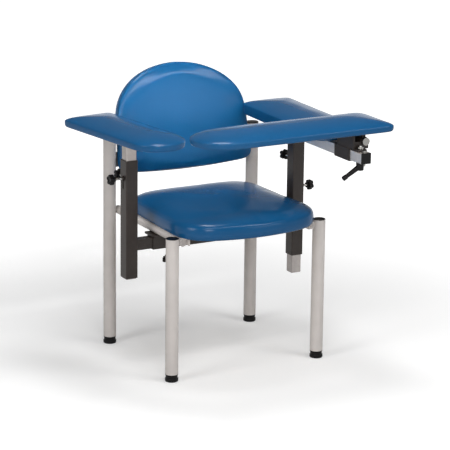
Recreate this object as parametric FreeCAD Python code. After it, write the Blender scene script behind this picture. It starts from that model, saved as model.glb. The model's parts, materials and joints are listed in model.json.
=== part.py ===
import FreeCAD, Part
import math
import os

V = FreeCAD.Vector
X_AXIS = V(1, 0, 0)
Y_AXIS = V(0, 1, 0)
Z_AXIS = V(0, 0, 1)

# Phlebotomy chair, millimetres, +Z up, +Y to the rear.
# Left and right are as seen from the front, and +X is right.
# While it is built, X is 0 on the centre plane, Y is 0 on the front legs' axes and Z is 0 on the floor.
# At the end everything is moved together, so that the origin is under the middle of the whole footprint.
FOOTPRINT_X = 32.2
FOOTPRINT_Y = -123.5

# Running clearances
SLIDE_GAP = 0.28
PIN_GAP = 0.05
SOFT_GAP = 0.4
CUT_OVERRUN = 5.0

# Legs, back posts and their feet
LEG_R = 19.05
LEG_WALL = 2.0
LEG_X = 244.0
LEG_TOP = 426.3
POST_Y = 404.0
POST_TOP = 637.5
GLIDE_H = 22.0
GLIDE_R = 19.5
GLIDE_NECK_R = 17.6
GLIDE_FLARE_H = 9.0
GLIDE_STEM_H = 16.0
GLIDE_EDGE_R = 2.5
PLUG_T = 8.0
PLUG_RECESS = 1.2
PLUG_DIMPLE_R = 11.0
PLUG_DIMPLE_H = 1.4
CAP_T = 2.4

# Side rails and crossbars
RAIL_R = 12.7
RAIL_WALL = 1.8
RAIL_BITE = 1.0
CROSSBAR_R = 11.1
RAIL_PAST_LEG = 7.0
RAIL_PAST_POST = 5.0
RAIL_CAP_T = 2.0
FRONT_BAR_Y = 60.0
REAR_BAR_AHEAD = 15.0

# Seat: its front edge is bowed, its corners are round and its sides run in towards the rear
SEAT_BOARD_T = 12.0
SEAT_AHEAD_OF_POST = 29.0
SEAT_PAST_LEG = 97.0
SEAT_LEG_INSET = 18.0
SEAT_TAPER = 13.0
SEAT_REAR_CORNER = 80.0
SEAT_FRONT_CORNER = 108.0
SEAT_BOW_R = 510.0
SEAT_CROWN_H = 61.0
SEAT_BOARD_INSET = 17.0
SEAT_CREASE = 11.0

# Seat tabs, welded to the rails
TAB_T = 3.0
TAB_W = 34.0
TAB_REACH = 36.0
TAB_DROP = 22.0
TAB_FRONT_Y = -20.0
TAB_FROM_REAR = 107.0
BOLT_R = 3.0
BOLT_HEAD_R = 6.0
BOLT_HEAD_H = 3.6
BOLT_BITE = 9.0

# Backrest: a dome over straight sides, hollow towards the sitter, leaning back
BACK_LEAN = 12.4
BACK_BELOW_POST_TOP = 105.0
BACK_AHEAD_OF_POST = 13.2
BACK_H = 312.0
BACK_SHOULDER_H = 156.0
BACK_POST_GAP = 7.95
BACK_FLARE = 8.5
BACK_SAG = 31.0
BACK_BOW = 14.0
BACK_T = 45.0
BACK_BOARD_T = 12.0
BACK_BOARD_INSET = 5.0
BACK_ROLL = 22.0
BACK_SIDE_ROLL = 13.0
BACK_CORNER = 20.0
BACK_CROWN = 5.0

# Backrest brackets, straps of flat steel from the posts to the back of the board
BRACKET_T = 5.0
BRACKET_H = 44.0
BRACKET_REACH = 62.0
BRACKET_MID_H = 38.0
BRACKET_GAP = 0.2
BRACKET_EDGE = 12.0

# Square tubes of the arms
OUTER_TUBE = 38.1
OUTER_WALL = 2.9
INNER_TUBE = OUTER_TUBE - 2 * OUTER_WALL - 2 * SLIDE_GAP
INNER_WALL = 2.6
TUBE_CORNER = 2.2
ARM_Y = 159.0

# Receiver across the chair, under the rails
RECEIVER_PAST_RAIL = 19.75
RECEIVER_PLATE_T = 6.0
RECEIVER_PLATE_W = 44.0
RECEIVER_PLATE_L = 64.0
RECEIVER_KNOB_IN = 57.0
RECEIVER_KNOB_OUT = 40.0

# Arm posts: how far each stands out from the seat, and how far its pad is raised
RIGHT_POST_OUT = 29.0
LEFT_POST_OUT = 76.0
OUTER_POST_BELOW = 96.85
OUTER_POST_L = 351.0
ARM_TUBE_CENTRE_GAP = 13.95
INNER_POST_L = 418.0
BAR_SEAT_LIFT = 11.6
LEFT_PLATE_T = 5.0
LEFT_PLATE_L = 130.0
LEFT_PLATE_W = 64.0
LEFT_PAD_RAISE = 69.0

# Star knobs and their studs
KNOB_CORE_R = 11.0
KNOB_LOBE_R = 4.9
KNOB_LOBE_AT = 11.1
KNOB_LOBES = 5
KNOB_T = 13.0
KNOB_HUB_R = 7.5
KNOB_HUB_H = 6.0
STUD_R = 4.0
BOSS_R = 8.0
BOSS_T = 5.0
STUD_TIP_GAP = 0.3
LEFT_SIDE_KNOB_DOWN = 53.4
LEFT_SIDE_KNOB_OUT = 39.0
RIGHT_SIDE_KNOB_DOWN = 141.4
RIGHT_SIDE_KNOB_OUT = 31.0
REAR_KNOB_DOWN = 57.0
REAR_KNOB_OUT = 47.0
SLOT_W = 8.0
SLOT_DOWN = 63.0
SLOT_L = 20.0

# Arm pads
PAD_L = 443.0
PAD_HALF = 82.5
PAD_BEHIND_POST = 215.0
PAD_OUTSET = 7.0
PAD_TIP = 80.0
PAD_CORNER = 12.0
PAD_H = 37.0
PAD_WALL_H = 19.0
RIGHT_PAD_H = 50.0
RIGHT_PAD_WALL_H = 32.0
PAD_BOARD_T = 11.0
PAD_BOARD_INSET = 10.0
PAD_CREASE = 2.5
LEFT_TOE_IN = 7.4
RIGHT_TOE_IN = 2.3

# Reach bar on the right arm, with the plate under the pad
REACH_BEHIND = 117.0
END_PLUG_HEAD = 2.5
END_PLUG_DEPTH = 13.0
RIGHT_PLATE_T = 3.0
RIGHT_PLATE_W = 64.0
RIGHT_PLATE_AHEAD = 107.0
RIGHT_PLATE_BEHIND = 103.0
STOP_BOLT_IN = 6.5
STOP_BOLT_R = 3.0
STOP_HEAD_R = 5.2
STOP_HEAD_H = 5.0
STOP_TAIL = 8.0

# Carriage of the blood-draw pad
SLEEVE_FROM_END = 61.0
SLEEVE_L = 79.0
HINGE_OUT = 19.0
HINGE_RISE = 21.98
HINGE_PLATE_T = 5.0
HINGE_PAST_SLEEVE = 23.0
HINGE_L = 88.0
HINGE_PAD_GAP = 33.0
HINGE_EAR_R = 12.5
HINGE_PIN_R = 6.0
BARREL_R = 11.0
HINGE_HEAD_R = 11.5
HINGE_HEAD_T = 7.0
HINGE_NUT_R = 9.5
HINGE_NUT_T = 6.0
WASHER_T = 1.6
TONGUE_L = 19.0
TONGUE_HALF = 15.0
CLAMP_IN = 10.5
CLAMP_STUD_R = 5.0
CLAMP_NUT_R = 9.0
CLAMP_NUT_T = 7.0
SLOT_PLAY = 0.25
REACH_FORWARD = 6.0
REACH_BACK = 20.0

# Clamping lever
LEVER_HUB_R = 10.5
LEVER_HUB_TOP_R = 12.0
LEVER_HUB_H = 24.0
LEVER_BORE_SHARE = 0.6
LEVER_GAP = 0.4
LEVER_REACH = 56.0
LEVER_FALL = 32.0
LEVER_ROOT_R = 8.0
LEVER_TIP_R = 5.6
LEVER_END_R = 7.2
LEVER_END_L = 13.0

# Blood-draw pad
FLIP_ABOVE_HINGE = 30.5
FLIP_FROM_HINGE_FRONT = 39.4
FLIP_PAST_HINGE = 76.0
FLIP_LEFT_GAP = 40.0
FLIP_HALF = 89.0
FLIP_TIP = 95.0
FLIP_H = 35.5
FLIP_WALL_H = 17.5
LEAF_T = 5.0
LEAF_INWARDS = 96.0
LEAF_OUTWARDS = 16.0
LEAF_MARGIN = 7.0
LEAF_WEB_T = 12.0

# Pad screws
SCREW_R = 2.4
SCREW_HEAD_R = 4.6
SCREW_HEAD_H = 2.6
SCREW_BITE = 8.0
SCREW_EDGE = 11.0

# Crown of a pad: each ring is a share of the half width drawn in, at a share of the height over its wall
PAD_WALL_SHARE = 0.6
PAD_CROWN_SHARES = (
    (0.012, 0.08),
    (0.10, 0.52),
    (0.25, 0.80),
    (0.48, 0.95),
    (0.72, 1.0),
)
PAD_REAR_DRAW_SHARE = 1.0
PAD_TIP_DRAW_SHARE = 1.1
# Crown of the seat: each ring is a share of the half width drawn in, at a share of the crown height
SEAT_RING_SHARES = (
    (0.0, 0.28),
    (0.012, 0.53),
    (0.05, 0.72),
    (0.13, 0.85),
    (0.27, 0.96),
    (0.46, 1.0),
)
# Upright sections of the backrest from its middle to its side, as shares of a quarter turn round the dome
BACK_SECTION_SHARES = (0.0, 0.2, 0.4, 0.58, 0.7, 0.8, 0.88, 0.95, 1.0)
SIDE_ROLL_SHARPNESS = 12

# Places worked out from the sizes above: the frame, seat and backrest
RAIL_X = LEG_X - LEG_R - RAIL_R + RAIL_BITE
RAIL_Z = LEG_TOP - RAIL_R
RAIL_FRONT_Y = -RAIL_PAST_LEG
RAIL_REAR_Y = POST_Y + RAIL_PAST_POST
REAR_BAR_Y = POST_Y - REAR_BAR_AHEAD
SEAT_REAR_Y = POST_Y - SEAT_AHEAD_OF_POST
SEAT_FRONT_Y = -SEAT_PAST_LEG
SEAT_FRONT_HALF = LEG_X - SEAT_LEG_INSET
SEAT_REAR_HALF = SEAT_FRONT_HALF - SEAT_TAPER
TAB_REAR_Y = SEAT_REAR_Y - TAB_FROM_REAR
BACK_FOOT_Z = POST_TOP - BACK_BELOW_POST_TOP
BACK_FOOT_Y = POST_Y - BACK_AHEAD_OF_POST
BACK_HALF = LEG_X - LEG_R - BACK_POST_GAP
BACK_HALF_LOW = BACK_HALF + BACK_FLARE

# The receiver, the arm posts and their knobs
RECEIVER_TOP = RAIL_Z - RAIL_R - RECEIVER_PLATE_T
RECEIVER_Z = RECEIVER_TOP - OUTER_TUBE / 2
RECEIVER_HALF = RAIL_X + RECEIVER_PAST_RAIL
RECEIVER_KNOB_X = RECEIVER_HALF - RECEIVER_KNOB_IN
RIGHT_POST_X = SEAT_FRONT_HALF + RIGHT_POST_OUT
LEFT_POST_X = -SEAT_FRONT_HALF - LEFT_POST_OUT
ARM_TUBE_L = RIGHT_POST_X - OUTER_TUBE / 2 - ARM_TUBE_CENTRE_GAP
OUTER_POST_BOTTOM = RECEIVER_Z - OUTER_POST_BELOW
OUTER_POST_TOP = OUTER_POST_BOTTOM + OUTER_POST_L
LEFT_SIDE_KNOB_Z = OUTER_POST_TOP - LEFT_SIDE_KNOB_DOWN
RIGHT_SIDE_KNOB_Z = OUTER_POST_TOP - RIGHT_SIDE_KNOB_DOWN
REAR_KNOB_Z = OUTER_POST_TOP - REAR_KNOB_DOWN
SLOT_TOP_Z = OUTER_POST_TOP - SLOT_DOWN
SLOT_BOTTOM_Z = SLOT_TOP_Z - SLOT_L
LEFT_PAD_Z = OUTER_POST_TOP + LEFT_PAD_RAISE

# The reach bar and what rides on it
BAR_BOTTOM = OUTER_POST_TOP + BAR_SEAT_LIFT
BAR_Z = BAR_BOTTOM + INNER_TUBE / 2
BAR_TOP = BAR_BOTTOM + INNER_TUBE
RIGHT_PAD_Z = BAR_TOP + RIGHT_PLATE_T
HINGE_REAR_Y = ARM_Y + PAD_BEHIND_POST - PAD_L - HINGE_PAD_GAP
HINGE_FRONT_Y = HINGE_REAR_Y - HINGE_L
SLEEVE_FRONT_Y = HINGE_FRONT_Y + HINGE_PAST_SLEEVE
SLEEVE_REAR_Y = SLEEVE_FRONT_Y + SLEEVE_L
REACH_FRONT_Y = SLEEVE_FRONT_Y - SLEEVE_FROM_END
REACH_REAR_Y = ARM_Y + REACH_BEHIND
RIGHT_PLATE_FRONT_Y = ARM_Y - RIGHT_PLATE_AHEAD
RIGHT_PLATE_REAR_Y = ARM_Y + RIGHT_PLATE_BEHIND
STOP_BOLT_Y = REACH_FRONT_Y + STOP_BOLT_IN
SLEEVE_TOP = BAR_Z + OUTER_TUBE / 2
HINGE_X = RIGHT_POST_X + HINGE_OUT
HINGE_Z = SLEEVE_TOP + HINGE_RISE
TONGUE_FRONT_Y = HINGE_FRONT_Y - TONGUE_L
CLAMP_Y = TONGUE_FRONT_Y + CLAMP_IN
LEAF_LEFT_X = HINGE_X - LEAF_INWARDS
LEAF_RIGHT_X = HINGE_X + LEAF_OUTWARDS
FLIP_Z = HINGE_Z + FLIP_ABOVE_HINGE
FLIP_Y = HINGE_FRONT_Y + FLIP_FROM_HINGE_FRONT
FLIP_RIGHT_X = HINGE_X + FLIP_PAST_HINGE
FLIP_L = FLIP_RIGHT_X - LEFT_POST_X - FLIP_LEFT_GAP

parts = {}


def block(x0, x1, y0, y1, z0, z1):
    return Part.makeBox(x1 - x0, y1 - y0, z1 - z0, V(x0, y0, z0))


def rod(radius, start, direction, length):
    return Part.makeCylinder(radius, length, start, direction)


def pipe(radius, wall, start, direction, length):
    return rod(radius, start, direction, length).cut(rod(radius - wall, start, direction, length))


def group(shapes):
    return Part.makeCompound(shapes)


def rounded_bar(size, corner, start, direction, length):
    """A square bar along one axis, centred on start, its four long edges rounded."""
    half = size / 2
    along_z = block(-half, half, -half, half, 0, length)
    long_edges = [e for e in along_z.Edges if abs(e.tangentAt(0).z) > 0.9]
    bar = along_z.makeFillet(corner, long_edges)
    turn = FreeCAD.Rotation(Z_AXIS, direction)
    bar.Placement = FreeCAD.Placement(start, turn)
    return bar


def square_tube(size, wall, start, direction, length):
    outside = rounded_bar(size, TUBE_CORNER, start, direction, length)
    inside = rounded_bar(size - 2 * wall, TUBE_CORNER / 4, start, direction, length)
    return outside.cut(inside)


def arc(a, b, c):
    return Part.Arc(a, b, c).toShape()


def line(a, b):
    return Part.makeLine(a, b)


def loft(wires):
    return Part.makeLoft(wires, True, False)


# Legs, posts, feet and plugs

def leg(x, y, top):
    return pipe(LEG_R, LEG_WALL, V(x, y, GLIDE_H), Z_AXIS, top - GLIDE_H)


def glide(x, y):
    """A foot: flared sole with a rounded edge, a neck, and a stem inside the tube."""
    sole = rod(GLIDE_R, V(x, y, 0), Z_AXIS, GLIDE_FLARE_H)
    sole = sole.makeFillet(GLIDE_EDGE_R, [e for e in sole.Edges if e.BoundBox.ZMax < GLIDE_EDGE_R])
    neck = rod(GLIDE_NECK_R, V(x, y, GLIDE_FLARE_H), Z_AXIS, GLIDE_H - GLIDE_FLARE_H - CAP_T)
    collar = rod(LEG_R, V(x, y, GLIDE_H - CAP_T), Z_AXIS, CAP_T)
    stem = rod(LEG_R - LEG_WALL - PIN_GAP, V(x, y, GLIDE_H), Z_AXIS, GLIDE_STEM_H)
    return sole.fuse([neck, collar, stem])


def leg_plug(x, y):
    """A plug pushed into the open top of a front leg, with a shallow dimple."""
    top = LEG_TOP - PLUG_RECESS
    disc = rod(LEG_R - LEG_WALL - PIN_GAP, V(x, y, top - PLUG_T), Z_AXIS, PLUG_T)
    return disc.cut(rod(PLUG_DIMPLE_R, V(x, y, top - PLUG_DIMPLE_H), Z_AXIS, PLUG_T))


def post_cap(x):
    head = rod(LEG_R, V(x, POST_Y, POST_TOP), Z_AXIS, CAP_T)
    stem = rod(LEG_R - LEG_WALL - PIN_GAP, V(x, POST_Y, POST_TOP - PLUG_T), Z_AXIS, PLUG_T)
    return head.fuse(stem)


def make_legs():
    parts["front_leg_left"] = leg(-LEG_X, 0, LEG_TOP)
    parts["front_leg_right"] = leg(LEG_X, 0, LEG_TOP)
    parts["back_post_left"] = leg(-LEG_X, POST_Y, POST_TOP)
    parts["back_post_right"] = leg(LEG_X, POST_Y, POST_TOP)
    corners = [(x, y) for x in (-LEG_X, LEG_X) for y in (0, POST_Y)]
    parts["floor_glides"] = group([glide(x, y) for x, y in corners])
    parts["tube_plugs"] = group([leg_plug(-LEG_X, 0), leg_plug(LEG_X, 0)] + rail_caps())
    parts["post_caps"] = group([post_cap(-LEG_X), post_cap(LEG_X)])


# Rails and crossbars

def rail_solid(x):
    return rod(RAIL_R, V(x, RAIL_FRONT_Y, RAIL_Z), Y_AXIS, RAIL_REAR_Y - RAIL_FRONT_Y)


def rail_caps():
    """Plastic discs in the open ends of the side rails."""
    caps = []
    for x in (-RAIL_X, RAIL_X):
        for y, inwards in ((RAIL_FRONT_Y, Y_AXIS), (RAIL_REAR_Y, -Y_AXIS)):
            caps.append(rod(RAIL_R - RAIL_WALL - PIN_GAP, V(x, y, RAIL_Z), inwards, RAIL_CAP_T))
    return caps


def make_rails():
    posts = [rod(LEG_R, V(x, y, 0), Z_AXIS, POST_TOP) for x in (-LEG_X, LEG_X) for y in (0, POST_Y)]
    for name, x in (("left", -RAIL_X), ("right", RAIL_X)):
        tube = pipe(RAIL_R, RAIL_WALL, V(x, RAIL_FRONT_Y, RAIL_Z), Y_AXIS, RAIL_REAR_Y - RAIL_FRONT_Y)
        parts["side_rail_" + name] = tube.cut(posts)
    rails = [rail_solid(x) for x in (-RAIL_X, RAIL_X)]
    for name, y in (("front_crossbar", FRONT_BAR_Y), ("rear_crossbar", REAR_BAR_Y)):
        bar = pipe(CROSSBAR_R, RAIL_WALL, V(-RAIL_X, y, RAIL_Z), X_AXIS, 2 * RAIL_X)
        parts[name] = bar.cut(rails)


# Seat

def on_circle(centre, radius, angle):
    return centre + V(radius * math.cos(angle), radius * math.sin(angle), 0)


def seat_ring(draw, z):
    """The seat's plan outline at height z, shrunk about its middle so that its sides come in by draw."""
    bow_mid = V(0, SEAT_FRONT_Y + SEAT_BOW_R, z)
    front_x = SEAT_FRONT_HALF - SEAT_FRONT_CORNER
    reach = SEAT_BOW_R - SEAT_FRONT_CORNER
    front_mid = V(front_x, bow_mid.y - math.sqrt(reach ** 2 - front_x ** 2), z)
    rear_mid = V(SEAT_REAR_HALF - SEAT_REAR_CORNER, SEAT_REAR_Y - SEAT_REAR_CORNER, z)
    run = front_mid - rear_mid
    side = math.atan2(run.y, run.x) + math.acos((SEAT_REAR_CORNER - SEAT_FRONT_CORNER) / run.Length)
    nose = math.atan2(front_mid.y - bow_mid.y, front_x)
    rear = math.pi / 2
    scale = 1 - draw / SEAT_FRONT_HALF
    middle_y = (SEAT_REAR_Y + SEAT_FRONT_Y) / 2
    shrink = lambda p: V(p.x * scale, middle_y + (p.y - middle_y) * scale, z)
    left = lambda p: V(-p.x, p.y, p.z)
    front_pts = [
        shrink(on_circle(front_mid, SEAT_FRONT_CORNER, a)) for a in (nose, (nose + side) / 2, side)
    ]
    rear_pts = [
        shrink(on_circle(rear_mid, SEAT_REAR_CORNER, a)) for a in (side, (side + rear) / 2, rear)
    ]
    edges = [
        arc(*front_pts),
        line(front_pts[2], rear_pts[0]),
        arc(*rear_pts),
        line(rear_pts[2], left(rear_pts[2])),
        arc(*[left(p) for p in reversed(rear_pts)]),
        line(left(rear_pts[0]), left(front_pts[2])),
        arc(*[left(p) for p in reversed(front_pts)]),
        arc(left(front_pts[0]), shrink(V(0, SEAT_FRONT_Y, z)), front_pts[0]),
    ]
    return Part.Wire(edges)


def seat_slab(draw, z, thickness):
    return Part.Face(seat_ring(draw, z)).extrude(V(0, 0, thickness))


def seat_bolt_spots():
    inner = RAIL_X - TAB_REACH / 2 - RAIL_R / 2
    middle = TAB_W / 2
    return [(s * inner, y + middle) for s in (-1, 1) for y in (TAB_FRONT_Y, TAB_REAR_Y)]


def seat_tab(side, y):
    """A steel angle: a leaf flat under the board, and a leaf down the inside of the rail."""
    inner = side * (RAIL_X - TAB_REACH)
    outer = side * RAIL_X
    flat = block(min(inner, outer), max(inner, outer), y, y + TAB_W, LEG_TOP - TAB_T, LEG_TOP)
    wall_x = side * (RAIL_X - RAIL_R - TAB_T / 2)
    x0 = wall_x - TAB_T / 2
    wall = block(x0, x0 + TAB_T, y, y + TAB_W, LEG_TOP - TAB_DROP, LEG_TOP - TAB_T)
    return flat.fuse(wall)


def make_seat():
    bottom = LEG_TOP + SOFT_GAP
    board = seat_slab(SEAT_BOARD_INSET, LEG_TOP, SEAT_BOARD_T)
    rings = [seat_ring(SEAT_CREASE, bottom)]
    for draw_share, height_share in SEAT_RING_SHARES:
        rings.append(seat_ring(draw_share * SEAT_FRONT_HALF, bottom + height_share * SEAT_CROWN_H))
    cushion = loft(rings)
    pocket = seat_slab(SEAT_BOARD_INSET - SOFT_GAP, bottom - CUT_OVERRUN, CUT_OVERRUN + SEAT_BOARD_T)
    rails = [rail_solid(x) for x in (-RAIL_X, RAIL_X)]
    tabs = [seat_tab(s, y).cut(rails) for s in (-1, 1) for y in (TAB_FRONT_Y, TAB_REAR_Y)]
    bolts = []
    holes = []
    top = LEG_TOP - TAB_T
    for x, y in seat_bolt_spots():
        head = rod(BOLT_HEAD_R, V(x, y, top - BOLT_HEAD_H), Z_AXIS, BOLT_HEAD_H)
        bolts.append(head.fuse(rod(BOLT_R, V(x, y, top), Z_AXIS, TAB_T + BOLT_BITE)))
        length = CUT_OVERRUN + TAB_T + BOLT_BITE
        holes.append(rod(BOLT_R + PIN_GAP, V(x, y, top - CUT_OVERRUN), Z_AXIS, length))
    parts["seat_board"] = board.cut(holes)
    parts["seat_cushion"] = cushion.cut(pocket)
    parts["seat_tabs"] = group([t.cut(holes) for t in tabs])
    parts["seat_bolts"] = group(bolts)


# Backrest

def back_point(x, up, forward):
    """A point of the backrest: x across, up along the leaning back, forward from its rear face's chord."""
    lean = math.radians(BACK_LEAN)
    y = BACK_FOOT_Y + up * math.sin(lean) - forward * math.cos(lean)
    z = BACK_FOOT_Z + up * math.cos(lean) + forward * math.sin(lean)
    return V(x, y, z)


def hollow(x):
    """How far the curved back lies behind the chord of its sides at x."""
    return BACK_SAG * (1 - (x / BACK_HALF) ** 2)


def back_section(turn, inset, rear, front, roll):
    """An upright section of the backrest, turn radians round the dome from its middle."""
    across = math.sin(turn)
    rise = 0
    past = abs(across) * BACK_HALF_LOW - (BACK_HALF_LOW - BACK_CORNER)
    if past > 0:
        rise = BACK_CORNER - math.sqrt(BACK_CORNER ** 2 - past ** 2)
    low_x = across * (BACK_HALF_LOW - inset)
    top_x = across * (BACK_HALF - inset)
    low = rise + inset - BACK_BOW * (1 - across ** 2)
    top = BACK_SHOULDER_H - inset + (BACK_H - BACK_SHOULDER_H) * math.cos(turn)
    set_back = hollow(top_x)

    def at(up, forward):
        x = low_x + (top_x - low_x) * (up - low) / (top - low)
        return back_point(x, up, forward - set_back)

    if not roll:
        corners = [at(low, rear), at(top, rear), at(top, front), at(low, front)]
        return Part.makePolygon(corners + corners[:1])
    face = front - BACK_SIDE_ROLL * abs(across) ** SIDE_ROLL_SHARPNESS
    bend = math.sqrt(0.5)
    edges = [
        line(at(low, rear), at(top, rear)),
        arc(
            at(top, rear),
            at(top - roll * (1 - bend), rear + (face - rear) * bend),
            at(top - roll, face),
        ),
        arc(at(top - roll, face), at((top + low) / 2, face + BACK_CROWN), at(low + roll, face)),
        arc(
            at(low + roll, face),
            at(low + roll * (1 - bend), rear + (face - rear) * bend),
            at(low, rear),
        ),
    ]
    return Part.Wire(edges)


def back_turns():
    right = [share * math.pi / 2 for share in BACK_SECTION_SHARES]
    return [-turn for turn in reversed(right[1:])] + right


def bracket_spots():
    """Across and up the back: the two bolts of each side's bracket."""
    across = BACK_HALF - BRACKET_REACH + BRACKET_EDGE
    half = BRACKET_H / 2 - BRACKET_EDGE
    return [(s * across, BRACKET_MID_H + n * half) for s in (-1, 1) for n in (-1, 1)]


def make_back():
    cushion = loft([back_section(t, 0, BACK_BOARD_T + SOFT_GAP, BACK_T, BACK_ROLL) for t in back_turns()])
    board = loft([back_section(t, BACK_BOARD_INSET, 0, BACK_BOARD_T, 0) for t in back_turns()])
    inner = BACK_HALF - BRACKET_REACH
    rest = hollow(inner * BACK_HALF / BACK_HALF_LOW) + BRACKET_GAP
    lean = math.radians(BACK_LEAN)
    forwards = V(0, -math.cos(lean), math.sin(lean))
    brackets = []
    bolts = []
    holes = []
    for side in (-1, 1):
        strap = Part.makeBox(LEG_X - inner, BRACKET_T, BRACKET_H)
        corner = back_point(inner if side > 0 else -LEG_X, BRACKET_MID_H - BRACKET_H / 2, -rest)
        strap.Placement = FreeCAD.Placement(corner, FreeCAD.Rotation(X_AXIS, -BACK_LEAN))
        brackets.append(strap.cut(rod(LEG_R, V(side * LEG_X, POST_Y, 0), Z_AXIS, POST_TOP)))
    for across, up in bracket_spots():
        face = back_point(across, up, -rest - BRACKET_T)
        head = rod(BOLT_HEAD_R, face - forwards * BOLT_HEAD_H, forwards, BOLT_HEAD_H)
        length = BRACKET_T + BOLT_BITE
        bolts.append(head.fuse(rod(BOLT_R, face, forwards, length)))
        holes.append(rod(BOLT_R + PIN_GAP, face - forwards * CUT_OVERRUN, forwards, length + CUT_OVERRUN))
    parts["back_board"] = board.cut(holes)
    parts["back_cushion"] = cushion
    parts["back_brackets"] = group([b.cut(holes) for b in brackets])
    parts["back_bolts"] = group(bolts)


# Star knobs

def star_knob(centre, outwards):
    """A five-lobed knob centred on its thickness, with a hub towards the tube it clamps."""
    core = rod(KNOB_CORE_R, V(0, 0, -KNOB_T / 2), Z_AXIS, KNOB_T)
    lobes = []
    for n in range(KNOB_LOBES):
        angle = 2 * math.pi * n / KNOB_LOBES
        at = V(KNOB_LOBE_AT * math.cos(angle), KNOB_LOBE_AT * math.sin(angle), -KNOB_T / 2)
        lobes.append(rod(KNOB_LOBE_R, at, Z_AXIS, KNOB_T))
    hub = rod(KNOB_HUB_R, V(0, 0, -KNOB_T / 2 - KNOB_HUB_H), Z_AXIS, KNOB_HUB_H)
    knob = core.fuse(lobes + [hub]).removeSplitter()
    knob.Placement = FreeCAD.Placement(centre, FreeCAD.Rotation(Z_AXIS, outwards))
    return knob


def add_knob(name, face, outwards, out, wall):
    """Knob and stud of one clamp, on the tube's outside at face, the knob's middle out away from it."""
    centre = face + outwards * out
    root = centre - outwards * (KNOB_T / 2 + KNOB_HUB_H)
    tip = face - outwards * (wall + SLIDE_GAP - STUD_TIP_GAP / 2)
    stud = rod(STUD_R, root, tip - root, (root - tip).Length)
    parts[name + "_knob"] = group([star_knob(centre, outwards), stud])


def boss(face, outwards):
    ring = rod(BOSS_R, face, outwards, BOSS_T)
    return ring.cut(rod(STUD_R + PIN_GAP, face, outwards, BOSS_T))


def stud_hole(face, outwards):
    start = face + outwards * CUT_OVERRUN
    return rod(STUD_R + PIN_GAP, start, -outwards, CUT_OVERRUN + 2 * OUTER_WALL)


# Receiver

def make_receiver():
    half = OUTER_TUBE / 2
    start = V(-RECEIVER_HALF, ARM_Y, RECEIVER_Z)
    tube = square_tube(OUTER_TUBE, OUTER_WALL, start, X_AXIS, 2 * RECEIVER_HALF)
    under = V(-RECEIVER_KNOB_X, ARM_Y, RECEIVER_Z - half)
    behind = V(RECEIVER_KNOB_X, ARM_Y + half, RECEIVER_Z)
    clamps = [("receiver_left", under, -Z_AXIS), ("receiver_right", behind, Y_AXIS)]
    holes = [stud_hole(face, outwards) for _, face, outwards in clamps]
    bosses = [boss(face, outwards) for _, face, outwards in clamps]
    rails = [rod(RAIL_R, V(x, 0, RAIL_Z), Y_AXIS, POST_Y) for x in (-RAIL_X, RAIL_X)]
    plates = []
    bolts = []
    for s in (-1, 1):
        x = s * RAIL_X
        front = ARM_Y - RECEIVER_PLATE_L / 2
        plate = block(
            x - RECEIVER_PLATE_W / 2, x + RECEIVER_PLATE_W / 2,
            front, front + RECEIVER_PLATE_L,
            RECEIVER_TOP, RECEIVER_TOP + RECEIVER_PLATE_T,
        )
        inner = x - s * (RAIL_R + BOLT_R)
        for y in (front + BOLT_HEAD_R, front + RECEIVER_PLATE_L - BOLT_HEAD_R):
            hole = rod(BOLT_R + PIN_GAP, V(inner, y, RECEIVER_TOP), Z_AXIS, RECEIVER_PLATE_T)
            plate = plate.cut(hole)
            head = rod(BOLT_R * 2, V(inner, y, RECEIVER_TOP + RECEIVER_PLATE_T), Z_AXIS, BOLT_HEAD_H)
            shank = rod(BOLT_R, V(inner, y, RECEIVER_TOP), Z_AXIS, RECEIVER_PLATE_T)
            nut = rod(BOLT_R * 2, V(inner, y, RECEIVER_TOP - BOLT_HEAD_H), Z_AXIS, BOLT_HEAD_H)
            bolts.append(head.fuse([shank, nut]).cut(rails))
        plates.append(plate)
    parts["arm_receiver"] = tube.cut(holes)
    parts["receiver_bosses"] = group(bosses)
    parts["receiver_plates"] = group(plates)
    parts["receiver_bolts"] = group(bolts)
    for name, face, outwards in clamps:
        add_knob(name, face, outwards, RECEIVER_KNOB_OUT, OUTER_WALL)


# Arms

def make_arm(name, post_x, side, knob_z, knob_out):
    """The part of an arm that slides in the receiver: cross tube, outer post and its clamp knobs."""
    half = OUTER_TUBE / 2
    outwards = X_AXIS * side
    height = OUTER_POST_TOP - OUTER_POST_BOTTOM
    side_face = V(post_x + side * half, ARM_Y, knob_z)
    rear_face = V(post_x, ARM_Y + half, REAR_KNOB_Z)
    holes = [stud_hole(side_face, outwards), stud_hole(rear_face, Y_AXIS)]
    foot = V(post_x, ARM_Y, OUTER_POST_BOTTOM)
    post = square_tube(OUTER_TUBE, OUTER_WALL, foot, Z_AXIS, height).cut(holes)
    if side < 0:
        slot_x = post_x + side * half
        slot = block(
            slot_x - CUT_OVERRUN, slot_x + CUT_OVERRUN,
            ARM_Y - SLOT_W / 2, ARM_Y + SLOT_W / 2,
            SLOT_BOTTOM_Z, SLOT_TOP_Z,
        )
        post = post.cut(slot)
    parts[name + "_outer_post"] = post
    inner_face = V(post_x - side * half, ARM_Y, RECEIVER_Z)
    parts[name + "_arm_tube"] = square_tube(INNER_TUBE, INNER_WALL, inner_face, -outwards, ARM_TUBE_L)
    parts[name + "_post_bosses"] = group([boss(side_face, outwards), boss(rear_face, Y_AXIS)])
    add_knob(name + "_side", side_face, outwards, knob_out, OUTER_WALL)
    add_knob(name + "_rear", rear_face, Y_AXIS, REAR_KNOB_OUT, OUTER_WALL)


# Pads

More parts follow.
